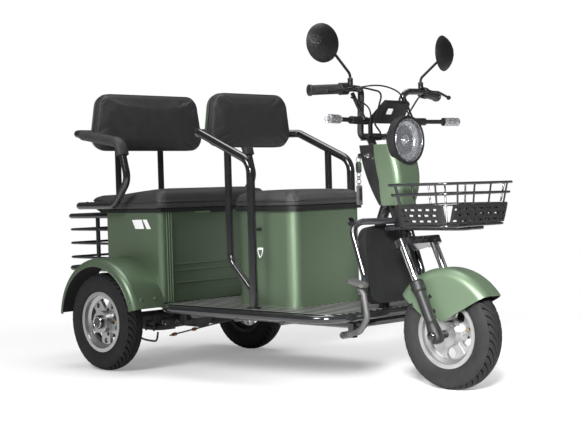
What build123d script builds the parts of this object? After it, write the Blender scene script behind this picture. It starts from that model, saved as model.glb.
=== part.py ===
from build123d import *
import math
import os

# Electric tricycle with three wheels, a driver's seat and a rear bench.
# The model is drawn with the rear axle over Y = 0, the floor at Z = 0,
# the front at -Y and the rider's left at +X. All sizes are millimetres.

# Running gear
wheel_base = 1362.0
track_width = 749.0
tyre_diameter = 370.0
tyre_width = 76.0
rim_diameter = 230.0
rim_width = 62.0
rake_angle = 24.0
fork_offset = 36.0
crown_height = 353.0
steer_limit = 35.0
# Clearances and the overrun of cuts
seat_gap = 0.3
bearing_gap = 0.4
cut_overrun = 5.0

tyre_radius = tyre_diameter / 2
rim_radius = rim_diameter / 2
axle_z = tyre_radius
front_axle_y = -wheel_base
rake = math.radians(rake_angle)

# The steering plane: its origin lies on the steering axis at the lower crown,
# its Z runs up the axis and its Y points back.
axis_foot_y = front_axle_y + fork_offset * math.cos(rake)
axis_foot_z = axle_z - fork_offset * math.sin(rake)
crown_y = axis_foot_y + crown_height * math.sin(rake)
crown_z = axis_foot_z + crown_height * math.cos(rake)
steering = Plane(origin=(0, crown_y, crown_z), x_dir=(1, 0, 0), z_dir=(0, math.sin(rake), math.cos(rake)))

nodes = {}


def axis_y(z):
    """Y of the steering axis at a height."""
    return crown_y + (z - crown_z) * math.tan(rake)


def along_steering(part):
    """Places a piece drawn about Z on the steering axis."""
    return part.moved(steering.location)


def rod(start, end, diameter):
    """A straight round bar between two points."""
    line = Vector(end) - Vector(start)
    return extrude(Plane(origin=start, z_dir=line) * Circle(diameter / 2), amount=line.length)


def tube(points, diameter, bend):
    """A round tube along straight runs with equal or listed bends."""
    runs = []
    for edge in FilletPolyline(*points, radius=bend).edges():
        start = Plane(origin=edge @ 0, z_dir=edge % 0)
        runs.append(sweep(start * Circle(diameter / 2), path=edge))
    return joined(runs)


def hoop(width, length, corner, diameter, centre_y, z):
    """A closed rounded rectangle of round bar lying level, bent in two halves."""
    x, y = width / 2, length / 2
    ends = [(0, -y, 0), (x, -y, 0), (x, y, 0), (0, y, 0)]
    half = tube(ends, diameter, corner)
    return joined(both_sides(half)).moved(Location((0, centre_y, z)))


def both_sides(part):
    """A piece and its mirror image across the middle of the vehicle."""
    return [part, mirror(part, about=Plane.YZ)]


def joined(pieces):
    """Touching or crossing pieces as one part."""
    first, *rest = pieces
    return first.fuse(*rest) if rest else first


def level_block(x_size, y_size, z_low, z_high, y_centre, corner=0.0):
    """An upright block with rounded vertical edges."""
    outline = RectangleRounded(x_size, y_size, corner) if corner else Rectangle(x_size, y_size)
    return extrude(Plane(origin=(0, y_centre, z_low)) * outline, amount=z_high - z_low)


# Wheels
rim_wall = 3.0
rim_flange_height = 11.0
rim_drop_depth = 14.0
hub_diameter = 84.0
hub_width = 66.0
spoke_count = 5
spoke_thickness = 14.0
spoke_root_width = 58.0
spoke_tip_width = 50.0
window_diameter = 20.0
window_share = 0.66
front_window_diameter = 36.0
front_window_share = 0.52
front_web_thickness = 9.0
front_rib_width = 15.0
hub_cap_diameter = 52.0
hub_cap_height = 14.0
axle_diameter = 15.0
tyre_shoulder_share = 0.86
tyre_bulge_share = 0.52
tyre_crown_drop = 9.0
bearing_bore = axle_diameter + 2 * bearing_gap

bead_radius = rim_radius - rim_flange_height
well_radius = bead_radius - rim_drop_depth
web_reach = well_radius - rim_wall / 2


def make_tyre():
    half = tyre_width / 2
    bead_half = rim_width / 2 - rim_wall - seat_gap
    height = tyre_radius - bead_radius
    bead = (bead_radius + seat_gap, bead_half)
    side = (bead_radius + height * tyre_bulge_share, half)
    shoulder = (tyre_radius - tyre_crown_drop, half * tyre_shoulder_share)
    crown = (tyre_radius, 0)
    flange_top = (rim_radius + seat_gap, bead_half)
    low_side = (flange_top[0], -flange_top[1])
    outline = [
        Line((bead[0], -bead[1]), (bead[0], bead[1])),
        Line((bead[0], bead[1]), flange_top),
        ThreePointArc(flange_top, side, shoulder),
        ThreePointArc(shoulder, crown, (shoulder[0], -shoulder[1])),
        ThreePointArc((shoulder[0], -shoulder[1]), (side[0], -side[1]), low_side),
        Line(low_side, (bead[0], -bead[1])),
    ]
    section = Plane.XZ * make_face(Wire(outline))
    return revolve(section, axis=Axis.Z).rotate(Axis.Y, 90)


def web_place(share):
    """Radius at a share of the way from the hub to the barrel."""
    return hub_diameter / 2 + (web_reach - hub_diameter / 2) * share


def spoked_web():
    """Rear wheel: broad spokes that leave triangles, a round window near each tip."""
    spoke = Polyline(
        (0, -spoke_root_width / 2),
        (web_reach, -spoke_tip_width / 2),
        (web_reach, spoke_tip_width / 2),
        (0, spoke_root_width / 2),
        close=True,
    )
    window = Pos(web_place(window_share), 0) * Circle(window_diameter / 2)
    centre = Circle(hub_diameter / 2 - rim_wall)
    face = (make_face(spoke) & Circle(web_reach)) - window - centre
    arm = extrude(face, amount=spoke_thickness / 2, both=True)
    return [arm.rotate(Axis.Z, 360 * index / spoke_count) for index in range(spoke_count)]


def windowed_web():
    """Front wheel: a disc with round windows and a raised rib between them."""
    disc = Circle(web_reach) - Circle(hub_diameter / 2 - rim_wall)
    window = Pos(web_place(front_window_share), 0) * Circle(front_window_diameter / 2)
    for index in range(spoke_count):
        disc -= Rot(0, 0, 360 * index / spoke_count) * window
    web = [extrude(disc, amount=front_web_thickness / 2, both=True)]
    rib_length = web_reach - hub_diameter / 2 + rim_wall
    rib = Pos(web_reach - rib_length / 2, 0) * Rectangle(rib_length, front_rib_width)
    rib = extrude(rib & Circle(web_reach), amount=spoke_thickness / 2, both=True)
    for index in range(spoke_count):
        web.append(rib.rotate(Axis.Z, 180 * (2 * index + 1) / spoke_count))
    return web


def make_rim(with_cap):
    """Cast wheel about X, its show face at -X."""
    half = rim_width / 2
    outer = [
        (rim_radius, -half),
        (rim_radius, -half + rim_wall),
        (bead_radius, -half + rim_wall),
        (bead_radius, -half / 2),
        (well_radius, -half / 3),
        (well_radius, half / 3),
        (bead_radius, half / 2),
        (bead_radius, half - rim_wall),
        (rim_radius, half - rim_wall),
        (rim_radius, half),
        (bead_radius - rim_wall, half),
        (bead_radius - rim_wall, half / 2),
        (well_radius - rim_wall, half / 3),
        (well_radius - rim_wall, -half / 3),
        (bead_radius - rim_wall, -half / 2),
        (bead_radius - rim_wall, -half),
    ]
    barrel = revolve(Plane.XZ * make_face(Polyline(*outer, close=True)), axis=Axis.Z)
    hub = Cylinder(hub_diameter / 2, hub_width) - Cylinder(bearing_bore / 2, hub_width + cut_overrun)
    web = spoked_web() if with_cap else windowed_web()
    pieces = [barrel, hub] + web
    if with_cap:
        cap = Pos(0, 0, -hub_width / 2 - hub_cap_height / 2) * Cylinder(hub_cap_diameter / 2, hub_cap_height)
        pieces.append(chamfer(cap.faces().sort_by(Axis.Z)[0].edges(), rim_wall))
    return joined(pieces).rotate(Axis.Y, 90)


def placed(part, x, y):
    return part.moved(Location((x, y, axle_z)))


nodes["front_tyre"] = placed(make_tyre(), 0, front_axle_y)
nodes["front_rim"] = placed(make_rim(False), 0, front_axle_y)
for side_name, side in (("right", -1), ("left", 1)):
    rim = make_rim(True)
    rim = rim if side < 0 else mirror(rim, about=Plane.YZ)
    nodes["rear_tyre_" + side_name] = placed(make_tyre(), side * track_width / 2, 0)
    nodes["rear_rim_" + side_name] = placed(rim, side * track_width / 2, 0)

# Deck and chassis
deck_top = 257.0
deck_half_width = 345.0
deck_front_y = -1130.0
deck_rear_y = -226.0
deck_corner = 110.0
deck_thickness = 10.0
deck_edge_tube = 28.0
rib_pitch = 34.0
rib_width = 22.0
rib_height = 4.0
rail_spacing = 280.0
rail_tube = 38.0
rail_rear_y = 250.0
rail_kick_start_y = -270.0
rail_kick_end_y = -225.0
rear_cross_y = 150.0
cross_tube = 30.0
cross_count = 3
head_tube_diameter = 50.0
head_tube_low = 34.0
head_tube_high = 316.0
stem_diameter = 28.0
down_tube = 38.0
down_tube_knee_z = 470.0
down_tube_knee_y = -1036.0

edge_z = deck_top - deck_edge_tube / 2
cross_z = deck_top - deck_thickness - seat_gap - cross_tube / 2
rail_z = cross_z - cross_tube / 4 - rail_tube / 4
rear_rail_z = deck_top - seat_gap - rail_tube / 2
spine_y = deck_front_y + deck_edge_tube + down_tube / 2
deck_length = deck_rear_y - deck_front_y
deck_middle_y = (deck_rear_y + deck_front_y) / 2
plate_width = 2 * deck_half_width - 2 * deck_edge_tube
neck_z = crown_z + (head_tube_low + head_tube_high) / 2 * math.cos(rake)
spine_points = (
    (0, spine_y, rail_z),
    (0, down_tube_knee_y, down_tube_knee_z),
    (0, axis_y(neck_z), neck_z),
)


def make_deck():
    plate_corner = deck_corner - deck_edge_tube
    length = deck_length - 2 * deck_edge_tube
    low = deck_top - deck_thickness
    plate = level_block(plate_width, length, low, deck_top - rib_height, deck_middle_y, plate_corner)
    bounds = level_block(plate_width, length, low, deck_top, deck_middle_y, plate_corner)
    count = int(plate_width / rib_pitch)
    ribs = []
    for index in range(count):
        x = (index - (count - 1) / 2) * rib_pitch
        rib = Plane(origin=(x, deck_middle_y, low)) * Rectangle(rib_width, length)
        ribs.append(extrude(rib, amount=deck_thickness))
    ribs = [rib & bounds for rib in ribs]
    notch_size = down_tube + 2 * cut_overrun
    notch_high = deck_top + cut_overrun
    notch = level_block(notch_size, notch_size + 2 * cut_overrun, low - cut_overrun, notch_high, spine_y)
    return joined([plate] + ribs) - notch


def make_deck_edge(diameter):
    """The tube round the deck, or the room that it takes."""
    edge_width = 2 * deck_half_width - deck_edge_tube
    edge_length = deck_length - deck_edge_tube
    edge_corner = deck_corner - deck_edge_tube / 2
    return hoop(edge_width, edge_length, edge_corner, diameter, deck_middle_y, edge_z)


def make_chassis():
    rail_x = rail_spacing / 2
    pieces = []
    for x in (-rail_x, rail_x):
        run = [
            (x, deck_front_y + deck_edge_tube, rail_z),
            (x, rail_kick_start_y, rail_z),
            (x, rail_kick_end_y, rear_rail_z),
            (x, rail_rear_y, rear_rail_z),
        ]
        pieces.append(tube(run, rail_tube, rail_tube))
    reach = deck_half_width - deck_edge_tube / 2
    for index in range(cross_count):
        y = deck_front_y + deck_length * (index + 1) / (cross_count + 1)
        pieces.append(rod((-reach, y, cross_z), (reach, y, cross_z), cross_tube))
    for y, z in ((rear_cross_y, rear_rail_z), (spine_y, rail_z)):
        pieces.append(rod((-rail_x, y, z), (rail_x, y, z), cross_tube))
    return joined(pieces + pedal_stud_pieces()) - make_deck_edge(deck_edge_tube + 2 * seat_gap)


def make_neck():
    """Spine and head tube, standing on the front cross tube, with the cowl's tabs."""
    head = extrude(Circle(head_tube_diameter / 2), amount=head_tube_high - head_tube_low)
    head = along_steering(Pos(0, 0, head_tube_low) * head)
    spine = tube(spine_points, down_tube, 2 * down_tube)
    bore_length = head_tube_high - head_tube_low + 2 * cut_overrun
    bore = extrude(Circle(stem_diameter / 2 + bearing_gap), amount=bore_length)
    bore = along_steering(Pos(0, 0, head_tube_low - cut_overrun) * bore)
    half = rail_spacing / 2
    cross_room = rod((-half, spine_y, rail_z), (half, spine_y, rail_z), cross_tube + 2 * seat_gap)
    return joined([head, spine, cowl_tabs()]) - bore - cross_room


# Cast brake pedal below the front of the deck on the right, on a stud under the rail
pedal_x = -187.0
pedal_arm = 20.0
pedal_pad_length = 74.0
pedal_pad_width = 46.0
pedal_pad_height = 11.0
pedal_pad_corner = 14.0
pedal_pad_y = -1120.0
pedal_pad_z = 350.0
pedal_pad_tilt = 14.0
pedal_neck_z = 318.0
pedal_neck_y = -1146.0
pedal_out_y = -1160.0
pedal_out_z = 240.0
pedal_low_y = -1126.0
pedal_low_z = 194.0
pedal_pivot_y = -1066.0
pedal_pivot_z = 180.0
pedal_pivot_tube = 24.0
pedal_pivot_length = 40.0
pedal_stud = 12.0
pedal_washer = 20.0
pedal_washer_height = 4.0
pedal_lug_thickness = 20.0
pedal_bend = 26.0


def make_pedal():
    x = pedal_x
    arm = tube(
        [
            (x, pedal_pad_y, pedal_pad_z),
            (x, pedal_neck_y, pedal_neck_z),
            (x, pedal_out_y, pedal_out_z),
            (x, pedal_low_y, pedal_low_z),
            (x, pedal_pivot_y, pedal_pivot_z),
        ],
        pedal_arm,
        [pedal_bend / 2, pedal_bend, pedal_bend],
    )
    outline = RectangleRounded(pedal_pad_width, pedal_pad_length, pedal_pad_corner)
    pad = extrude(outline, amount=pedal_pad_height / 2, both=True)
    pad = pad.rotate(Axis.X, pedal_pad_tilt)
    pad = pad.moved(Location((x, pedal_pad_y, pedal_pad_z + pedal_pad_height / 2)))
    half = pedal_pivot_length / 2
    ends = [(x - half, pedal_pivot_y, pedal_pivot_z), (x + half, pedal_pivot_y, pedal_pivot_z)]
    return joined([arm, pad, rod(*ends, pedal_pivot_tube)]) - rod(*ends, pedal_stud + 2 * seat_gap)


def pedal_stud_pieces():
    """Lug under the right-hand rail with the stud that carries the pedal."""
    y, z = pedal_pivot_y, pedal_pivot_z
    inner = pedal_x + pedal_pivot_length / 2 + seat_gap
    outer = pedal_x - pedal_pivot_length / 2 - seat_gap
    lug = level_block(pedal_lug_thickness, pedal_pivot_tube, z - pedal_pivot_tube / 2, rail_z, y)
    return [
        lug.moved(Location((inner + pedal_lug_thickness / 2, 0, 0))),
        rod((inner, y, z), (outer, y, z), pedal_stud),
        rod((outer, y, z), (outer - pedal_washer_height, y, z), pedal_washer),
    ]


nodes["chassis"] = make_chassis()
nodes["deck_edge"] = make_deck_edge(deck_edge_tube)
nodes["deck"] = make_deck()

# Driver's seat
box_half_width = 180.0
box_front_y = -823.0
box_rear_y = -527.0
box_top = 596.0
box_corner = 40.0
panel_wall = 3.0
lid_overlap = 11.0
lid_thickness = 16.0
lid_wall = 4.0
lid_rim_gap = 3.0
cushion_top = 668.0
cushion_edge = 18.0
hinge_pin = 8.0
hinge_length = 80.0
hinge_leaf = 3.0

box_length = box_rear_y - box_front_y
box_middle_y = (box_rear_y + box_front_y) / 2
lid_half_width = box_half_width + lid_overlap
lid_length = box_length + 2 * lid_overlap
lid_rear_y = box_rear_y + lid_overlap
front_hinge_y = lid_rear_y + hinge_pin / 2
front_hinge_z = box_top - hinge_pin / 2


def hinge_knuckle(x, y, z, length):
    return rod((x - length / 2, y, z), (x + length / 2, y, z), hinge_pin)


def fixed_knuckles(y, z, leaf_start, leaf_end):
    """Two outer knuckles with a leaf to the wall between two Y values."""
    pieces = []
    for side in (-1, 1):
        x = side * (hinge_length + seat_gap)
        pieces.append(hinge_knuckle(x, y, z, hinge_length))
        leaf = Box(hinge_length, leaf_end - leaf_start, hinge_leaf)
        pieces.append(leaf.moved(Location((x, (leaf_start + leaf_end) / 2, z))))
    return pieces


def make_seat_box():
    outer = level_block(2 * box_half_width, box_length, deck_top, box_top, box_middle_y, box_corner)
    inner = level_block(
        2 * (box_half_width - panel_wall),
        box_length - 2 * panel_wall,
        deck_top + panel_wall,
        box_top + cut_overrun,
        box_middle_y,
        box_corner - panel_wall,
    )
    return joined([outer - inner] + fixed_knuckles(front_hinge_y, front_hinge_z, box_rear_y, front_hinge_y))


def make_front_lid():
    low = box_top + seat_gap
    lid = level_block(2 * lid_half_width, lid_length, low, low + lid_thickness, box_middle_y, box_corner)
    rim = level_block(
        2 * (box_half_width - panel_wall - lid_rim_gap),
        box_length - 2 * panel_wall - 2 * lid_rim_gap,
        low,
        low + lid_thickness - lid_wall,
        box_middle_y,
        box_corner - panel_wall,
    )
    arm = level_block(hinge_length, hinge_pin, front_hinge_z, low + lid_thickness / 2, front_hinge_y)
    knuckle = hinge_knuckle(0, front_hinge_y, front_hinge_z, hinge_length)
    return joined([lid - rim, arm, knuckle])


def make_front_cushion():
    low = box_top + lid_thickness + 2 * seat_gap
    pad = level_block(2 * lid_half_width, lid_length, low, cushion_top, box_middle_y, box_corner + lid_wall)
    return fillet(pad.faces().sort_by(Axis.Z)[-1].edges(), cushion_edge)


nodes["seat_box"] = make_seat_box()
nodes["front_seat_base"] = make_front_lid()
nodes["front_seat_cushion"] = make_front_cushion()

# Backrests: a padded front and a moulded shell behind it
front_back_face_y = -460.0
front_back_low = 833.0
front_back_height = 202.0
front_back_half_width = 214.5
rear_back_face_y = 140.0
rear_back_low = 843.0
rear_back_height = 228.0
rear_back_half_width = 290.0
back_top_share = 0.87
back_corner = 58.0
back_pad_thickness = 46.0
back_shell_thickness = 24.0
back_shell_inset = 4.0
back_pad_edge = 14.0


def backrest(face_y, low, height, half_width):
    """Cushion and shell with a narrower top, standing upright."""
    middle = low + height / 2

    def outline(inset):
        low_x = half_width - inset
        high_x = half_width * back_top_share - inset
        half = height / 2 - inset
        shape = Polyline((-low_x, -half), (low_x, -half), (high_x, half), (-high_x, half), close=True)
        face = make_face(shape)
        return fillet(face.vertices(), back_corner - inset)

    front = Plane(origin=(0, face_y, middle), x_dir=(1, 0, 0), z_dir=(0, -1, 0))
    pad = extrude(front * outline(0), amount=-back_pad_thickness)
    pad = fillet(pad.faces().sort_by(Axis.Y)[0].edges(), back_pad_edge)
    start = face_y + back_pad_thickness + seat_gap
    rear = Plane(origin=(0, start, middle), x_dir=(1, 0, 0), z_dir=(0, -1, 0))
    shell = extrude(rear * outline(back_shell_inset), amount=-back_shell_thickness)
    shell = fillet(shell.faces().sort_by(Axis.Y)[-1].edges(), back_pad_edge)
    return pad, shell


front_pad, front_shell = backrest(front_back_face_y, front_back_low, front_back_height, front_back_half_width)
rear_pad, rear_shell = backrest(rear_back_face_y, rear_back_low, rear_back_height, rear_back_half_width)
nodes["front_backrest_pad"] = front_pad
nodes["front_backrest_shell"] = front_shell
nodes["rear_backrest_pad"] = rear_pad
nodes["rear_backrest_shell"] = rear_shell
shell_depth = back_pad_thickness + seat_gap + back_shell_thickness

# Tubular guard round the driver's seat, one bent tube with a brace each side
guard_half_width = 262.0
guard_post_y = -700.0
guard_shoulder_z = 772.0
guard_arm_z = 888.0
guard_arm_turn_y = -432.0
guard_tube = 30.0
guard_brace_tube = 26.0
guard_brace_y = -585.0
guard_brace_low_z = 425.0
guard_brace_foot_z = 312.0
guard_bend = 62.0
guard_foot_diameter = 52.0
guard_foot_height = 4.0
guard_back_half = 214.0


def make_guard():
    behind_y = front_back_face_y + shell_depth + seat_gap + guard_tube / 2
    x = -guard_half_width
    half = tube(
        [
            (0, behind_y, guard_arm_z),
            (-guard_back_half, behind_y, guard_arm_z),
            (x, guard_arm_turn_y, guard_arm_z),
            (x, guard_post_y, guard_shoulder_z),
            (x, guard_post_y, deck_top),
        ],
        guard_tube,
        [guard_tube, guard_tube, guard_bend],
    )
    arm_share = (guard_post_y - guard_brace_y) / (guard_post_y - guard_arm_turn_y)
    brace_top = guard_shoulder_z + (guard_arm_z - guard_shoulder_z) * arm_share
    brace = tube(
        [
            (x, guard_brace_y, brace_top),
            (x, guard_brace_y, guard_brace_low_z),
            (x, guard_post_y, guard_brace_foot_z),
        ],
        guard_brace_tube,
        guard_bend,
    )
    foot = Cylinder(guard_foot_diameter / 2, guard_foot_height)
    foot = foot.moved(Location((x, guard_post_y, deck_top + guard_foot_height / 2)))
    return joined(both_sides(joined([half, brace, foot])))


nodes["seat_guard"] = make_guard()

# Rear body and bench
body_half_width = 281.0
body_front_y = -224.0
body_rear_y = 118.0
body_top = 597.0
body_corner = 24.0
body_front_wall = 10.0
recess_depth = 6.0
recess_half_width = 222.0
recess_low = 300.0
recess_high = 572.0
recess_corner = 18.0
bead_width = 7.0
bead_height = 4.0
bead_spacing = 11.0
bead_count = 3
ledge_height = 7.0
ledge_depth = 4.0
ledge_shares = (0.1, 0.27, 0.36)
battery_width = 385.0
battery_length = 181.0
battery_height = 170.0

body_length = body_rear_y - body_front_y
body_middle_y = (body_rear_y + body_front_y) / 2


def make_rear_body():
    outer = level_block(2 * body_half_width, body_length, deck_top, body_top, body_middle_y, body_corner)
    inner = level_block(
        2 * (body_half_width - panel_wall),
        body_length - panel_wall - body_front_wall,
        deck_top + panel_wall,
        body_top + cut_overrun,
        body_middle_y + (body_front_wall - panel_wall) / 2,
        body_corner - panel_wall,
    )
    front = Plane(origin=(0, body_front_y, 0), x_dir=(1, 0, 0), z_dir=(0, -1, 0))
    height = recess_high - recess_low
    panel = front * Pos(0, (recess_low + recess_high) / 2) * RectangleRounded(
        2 * recess_half_width, height, recess_corner
    )
    recess = extrude(panel, amount=-recess_depth) + extrude(panel, amount=cut_overrun)
    body = outer - inner - recess
    extras = []
    for side in (-1, 1):
        for index in range(bead_count):
            x = side * (recess_half_width + bead_spacing * (index + 1) - bead_width / 2)
            bead = front * Pos(x, (deck_top + body_top) / 2) * Rectangle(bead_width, body_top - deck_top)
            bead = extrude(bead, amount=bead_height)
            extras.append(chamfer(bead.faces().sort_by(Axis.Y)[0].edges().filter_by(Axis.Z), bead_height / 2))
    for share in ledge_shares:
        z = recess_low + height * share
        ledge = Plane(origin=(0, body_front_y + recess_depth, z), x_dir=(1, 0, 0), z_dir=(0, -1, 0))
        ledge = extrude(ledge * Rectangle(2 * recess_half_width, ledge_height), amount=ledge_depth)
        extras.append(chamfer(ledge.faces().sort_by(Axis.Y)[0].edges().filter_by(Axis.X), ledge_depth / 2))
    knuckles = fixed_knuckles(bench_hinge_y, bench_hinge_z, bench_hinge_y, body_front_y)
    return joined([body] + extras + knuckles)


bench_half_width = 289.0
bench_front_y = -238.0
bench_rear_y = 212.0
bench_base_thickness = 12.0
bench_rear_low = 628.0
bench_base_turn_y = 130.0
bench_bolster_top = 690.0
bench_middle_top = 680.0
bench_rear_top = 672.0
bench_crest_y = -150.0
bench_edge = 20.0
bench_lip = 4.0
bench_hinge_y = body_front_y - hinge_pin / 2 - bead_height
bench_hinge_z = body_top - hinge_pin / 2


def side_solid(points, half_width, rounded=(), radius=0.0):
    """A solid drawn in the Y-Z plane and spread to both sides, some of its corners rounded."""
    plane = Plane(origin=(0, 0, 0), x_dir=(0, 1, 0), z_dir=(1, 0, 0))
    face = make_face(Polyline(*points, close=True))
    near = [v for v in face.vertices() if any(math.dist((v.X, v.Y), place) < seat_gap for place in rounded)]
    if near:
        face = fillet(near, radius)
    return extrude(plane * face, amount=half_width, both=True)


def make_bench_base():
    low = body_top + seat_gap
    high = low + bench_base_thickness
    tip = bench_rear_low + bench_base_thickness
    profile = [
        (bench_front_y + bench_lip, low),
        (bench_base_turn_y, low),
        (bench_rear_y - bench_lip, bench_rear_low),
        (bench_rear_y - bench_lip, tip),
        (bench_base_turn_y - bench_lip, high),
        (bench_front_y + bench_lip, high),
    ]
    plate = side_solid(profile, bench_half_width - bench_lip)
    arm = level_block(hinge_length, hinge_pin, bench_hinge_z, low + bench_base_thickness / 2, bench_hinge_y)
    return joined([plate, arm, hinge_knuckle(0, bench_hinge_y, bench_hinge_z, hinge_length)])


def make_bench_cushion():
    low = body_top + bench_base_thickness + 2 * seat_gap
    rear_low = bench_rear_low + bench_base_thickness + 2 * seat_gap
    profile = [
        (bench_front_y, low),
        (bench_base_turn_y - bench_lip, low),
        (bench_rear_y, rear_low + bench_lip),
        (bench_rear_y, bench_rear_top),
        (bench_crest_y + (bench_rear_y - bench_crest_y) / 3, bench_middle_top),
        (bench_crest_y, bench_bolster_top),
        (bench_front_y, bench_bolster_top - bench_lip),
    ]
    pad = side_solid(profile, bench_half_width, (profile[3], profile[-1]), bench_edge)
    return fillet(pad.edges().filter_by(Axis.Z), bench_edge)


nodes["rear_body"] = make_rear_body()
battery_low = deck_top + panel_wall
nodes["battery_pack"] = level_block(
    battery_width, battery_length, battery_low, battery_low + battery_height, body_middle_y
)
nodes["rear_bench_base"] = make_bench_base()
nodes["rear_bench_cushion"] = make_bench_cushion()

# Frame that carries the rear backrest and both armrests
seat_post_x = 112.0
seat_post_y = 240.0
seat_tube = 28.0
arm_half_width = 330.0
arm_high_z = 915.0
arm_front_y = -58.0
arm_front_z = 866.0
arm_knee_y = -98.0
arm_knee_share = 0.397
arm_foot_y = -12.0
arm_foot_z = 627.0
arm_knee_z = arm_foot_z + (arm_front_z - arm_foot_z) * arm_knee_share
arm_bend = 42.0
arm_knee_bend = 60.0
back_bracket_width = 40.0
back_bracket_height = 60.0
rack_half_width = 260.0
rack_rear_y = 393.0
rack_top_z = 585.0
rack_low_z = 373.0
rack_tube = 20.0
rack_bar = 10.0
rack_upright_y = 192.0
rack_corner = 36.0
rack_bar_shares = (0.26, 0.52, 0.79)
rack_stay_x = 48.0
rack_floor_count = 4


def make_rear_seat_frame():
    x = -arm_half_width
    arm = tube(
        [
            (0, seat_post_y, arm_high_z),
            (x, seat_post_y, arm_high_z),
            (x, arm_front_y, arm_front_z),
            (x, arm_knee_y, arm_knee_z),
            (x, arm_foot_y, arm_foot_z),
            (x, seat_post_y, arm_foot_z),
            (0, seat_post_y, arm_foot_z),
        ],
        seat_tube,
        [arm_bend, arm_bend, arm_knee_bend, arm_bend, arm_bend],
    )
    post_low = rack_top_z + (rack_tube - panel_wall) / 2 + seat_gap
    post_x = -seat_post_x
    post = rod((post_x, seat_post_y, post_low), (post_x, seat_post_y, arm_high_z), seat_tube - panel_wall)
    start = rear_back_face_y + shell_depth + seat_gap
    depth = seat_post_y - start
    bracket_low = arm_high_z - back_bracket_height
    bracket = level_block(back_bracket_width, depth, bracket_low, arm_high_z, start + depth / 2)
    bracket = bracket.moved(Location((-seat_post_x, 0, 0)))
    return joined(both_sides(joined([arm, post, bracket])))


# Armrest pads wrapped round the frame tube
arm_pad_width = 54.0
arm_pad_height = 40.0
arm_pad_rear_y = 175.0
arm_pad_front_share = 0.35


def make_arm_pads():
    x = -arm_half_width
    slope = (arm_high_z - arm_front_z) / (seat_post_y - arm_front_y)
    rear_z = arm_front_z + slope * (arm_pad_rear_y - arm_front_y)
    end_y = arm_front_y + (arm_knee_y - arm_front_y) * arm_pad_front_share
    end_z = arm_front_z + (arm_knee_z - arm_front_z) * arm_pad_front_share
    path = FilletPolyline(
        (x, arm_pad_rear_y, rear_z), (x, arm_front_y, arm_front_z), (x, end_y, end_z), radius=arm_bend
    )
    start = Plane(origin=path @ 0, x_dir=(1, 0, 0), z_dir=path % 0)
    pad = sweep(start * Ellipse(arm_pad_width / 2, arm_pad_height / 2), path=path)
    core = sweep(start * Circle(seat_tube / 2 + seat_gap), path=path)
    return both_sides(pad - core)


def make_rack():
    y = body_rear_y + seat_gap
    x = -rack_half_width

    def shelf(z, diameter):
        return tube([(x, y, z), (x, rack_rear_y, z), (0, rack_rear_y, z)], diameter, rack_corner)

    pieces = [shelf(rack_top_z, rack_tube), shelf(rack_low_z, rack_tube)]
    for share in rack_bar_shares:
        pieces.append(shelf(rack_top_z + (rack_low_z - rack_top_z) * share, rack_bar))
    thin = rack_tube - panel_wall
    stay_x = -rack_stay_x
    pieces.append(rod((x, rack_upright_y, rack_top_z), (x, rack_upright_y, rack_low_z), thin))
    pieces.append(rod((stay_x, rack_rear_y, rack_top_z), (stay_x, rack_rear_y, rack_low_z), thin))
    pieces.append(rod((x, seat_post_y, rack_top_z), (0, seat_post_y, rack_top_z), thin))
    pieces.append(rod((x, rack_upright_y, rack_low_z), (0, rack_upright_y, rack_low_z), thin))
    for index in range(rack_floor_count):
        bar_x = -rack_half_width * (index + 1) / (rack_floor_count + 1)
        pieces.append(rod((bar_x, rack_upright_y, rack_low_z), (bar_x, rack_rear_y, rack_low_z), rack_bar))
    return joined(both_sides(joined(pieces)))


nodes["rear_seat_frame"] = make_rear_seat_frame()
arm_pads = make_arm_pads()
nodes["armrest_pads"] = Compound(children=arm_pads)
nodes["rear_rack"] = make_rack()

# Rear fenders: an arched strip rounded down to a rolled outer edge
fender_outer_x = 428.0
fender_radius = 243.0
fender_outer_radius = 214.0
fender_wall = 2.5
fender_lip = 5.0
fender_start_angle = 6.0
fender_end_angle = 166.0
fender_round = 24.0
lamp_width = 96.0
lamp_height = 44.0
lamp_depth = 26.0
lamp_x = 210.0
lamp_z = 318.0


def arch_section(inner_x, outer_x, top, low, thickness, corner):
    """Outline in X and radius of a strip that turns down at its outer edge."""
    outer = Polyline((inner_x, top), (outer_x, top), (outer_x, low), (outer_x + thickness, low),
                     (outer_x + thickness, top - thickness), (inner_x, top - thickness), close=True)
    face = make_face(outer)
    far = [v for v in face.vertices() if abs(v.X - outer_x) < seat_gap and v.Y > top - thickness / 2]
    face = fillet(far, corner)
    near = [v for v in face.vertices() if abs(v.X - outer_x - thickness) < seat_gap and v.Y > low + thickness]
    return fillet(near, corner - thickness)


def make_rear_fender():
    inner = -body_half_width - seat_gap
    edge = (-fender_outer_x, fender_radius, fender_outer_radius)
    section = arch_section(inner, *edge, fender_wall, fender_round)
    lip = Pos(-fender_outer_x - fender_lip / 2 + fender_wall, fender_outer_radius) * Circle(fender_lip / 2)
    section = Plane(origin=(0, 0, axle_z), x_dir=(1, 0, 0), z_dir=(0, -1, 0)) * (section + lip)
    axis = Axis((0, 0, axle_z), (1, 0, 0))
    sweep_angle = fender_end_angle - fender_start_angle
    arch = revolve(section, axis=axis, revolution_arc=sweep_angle)
    return arch.rotate(axis, fender_start_angle - 90)


nodes["rear_fenders"] = Compound(children=both_sides(make_rear_fender()))
lamp = level_block(lamp_width, lamp_depth, lamp_z - lamp_height / 2, lamp_z + lamp_height / 2,
                   body_rear_y + lamp_depth / 2 + seat_gap)
lamp = fillet(lamp.faces().sort_by(Axis.Y)[-1].edges(), lamp_depth / 4).moved(Location((lamp_x, 0, 0)))
nodes["tail_lamps"] = Compound(children=both_sides(lamp))

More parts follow.
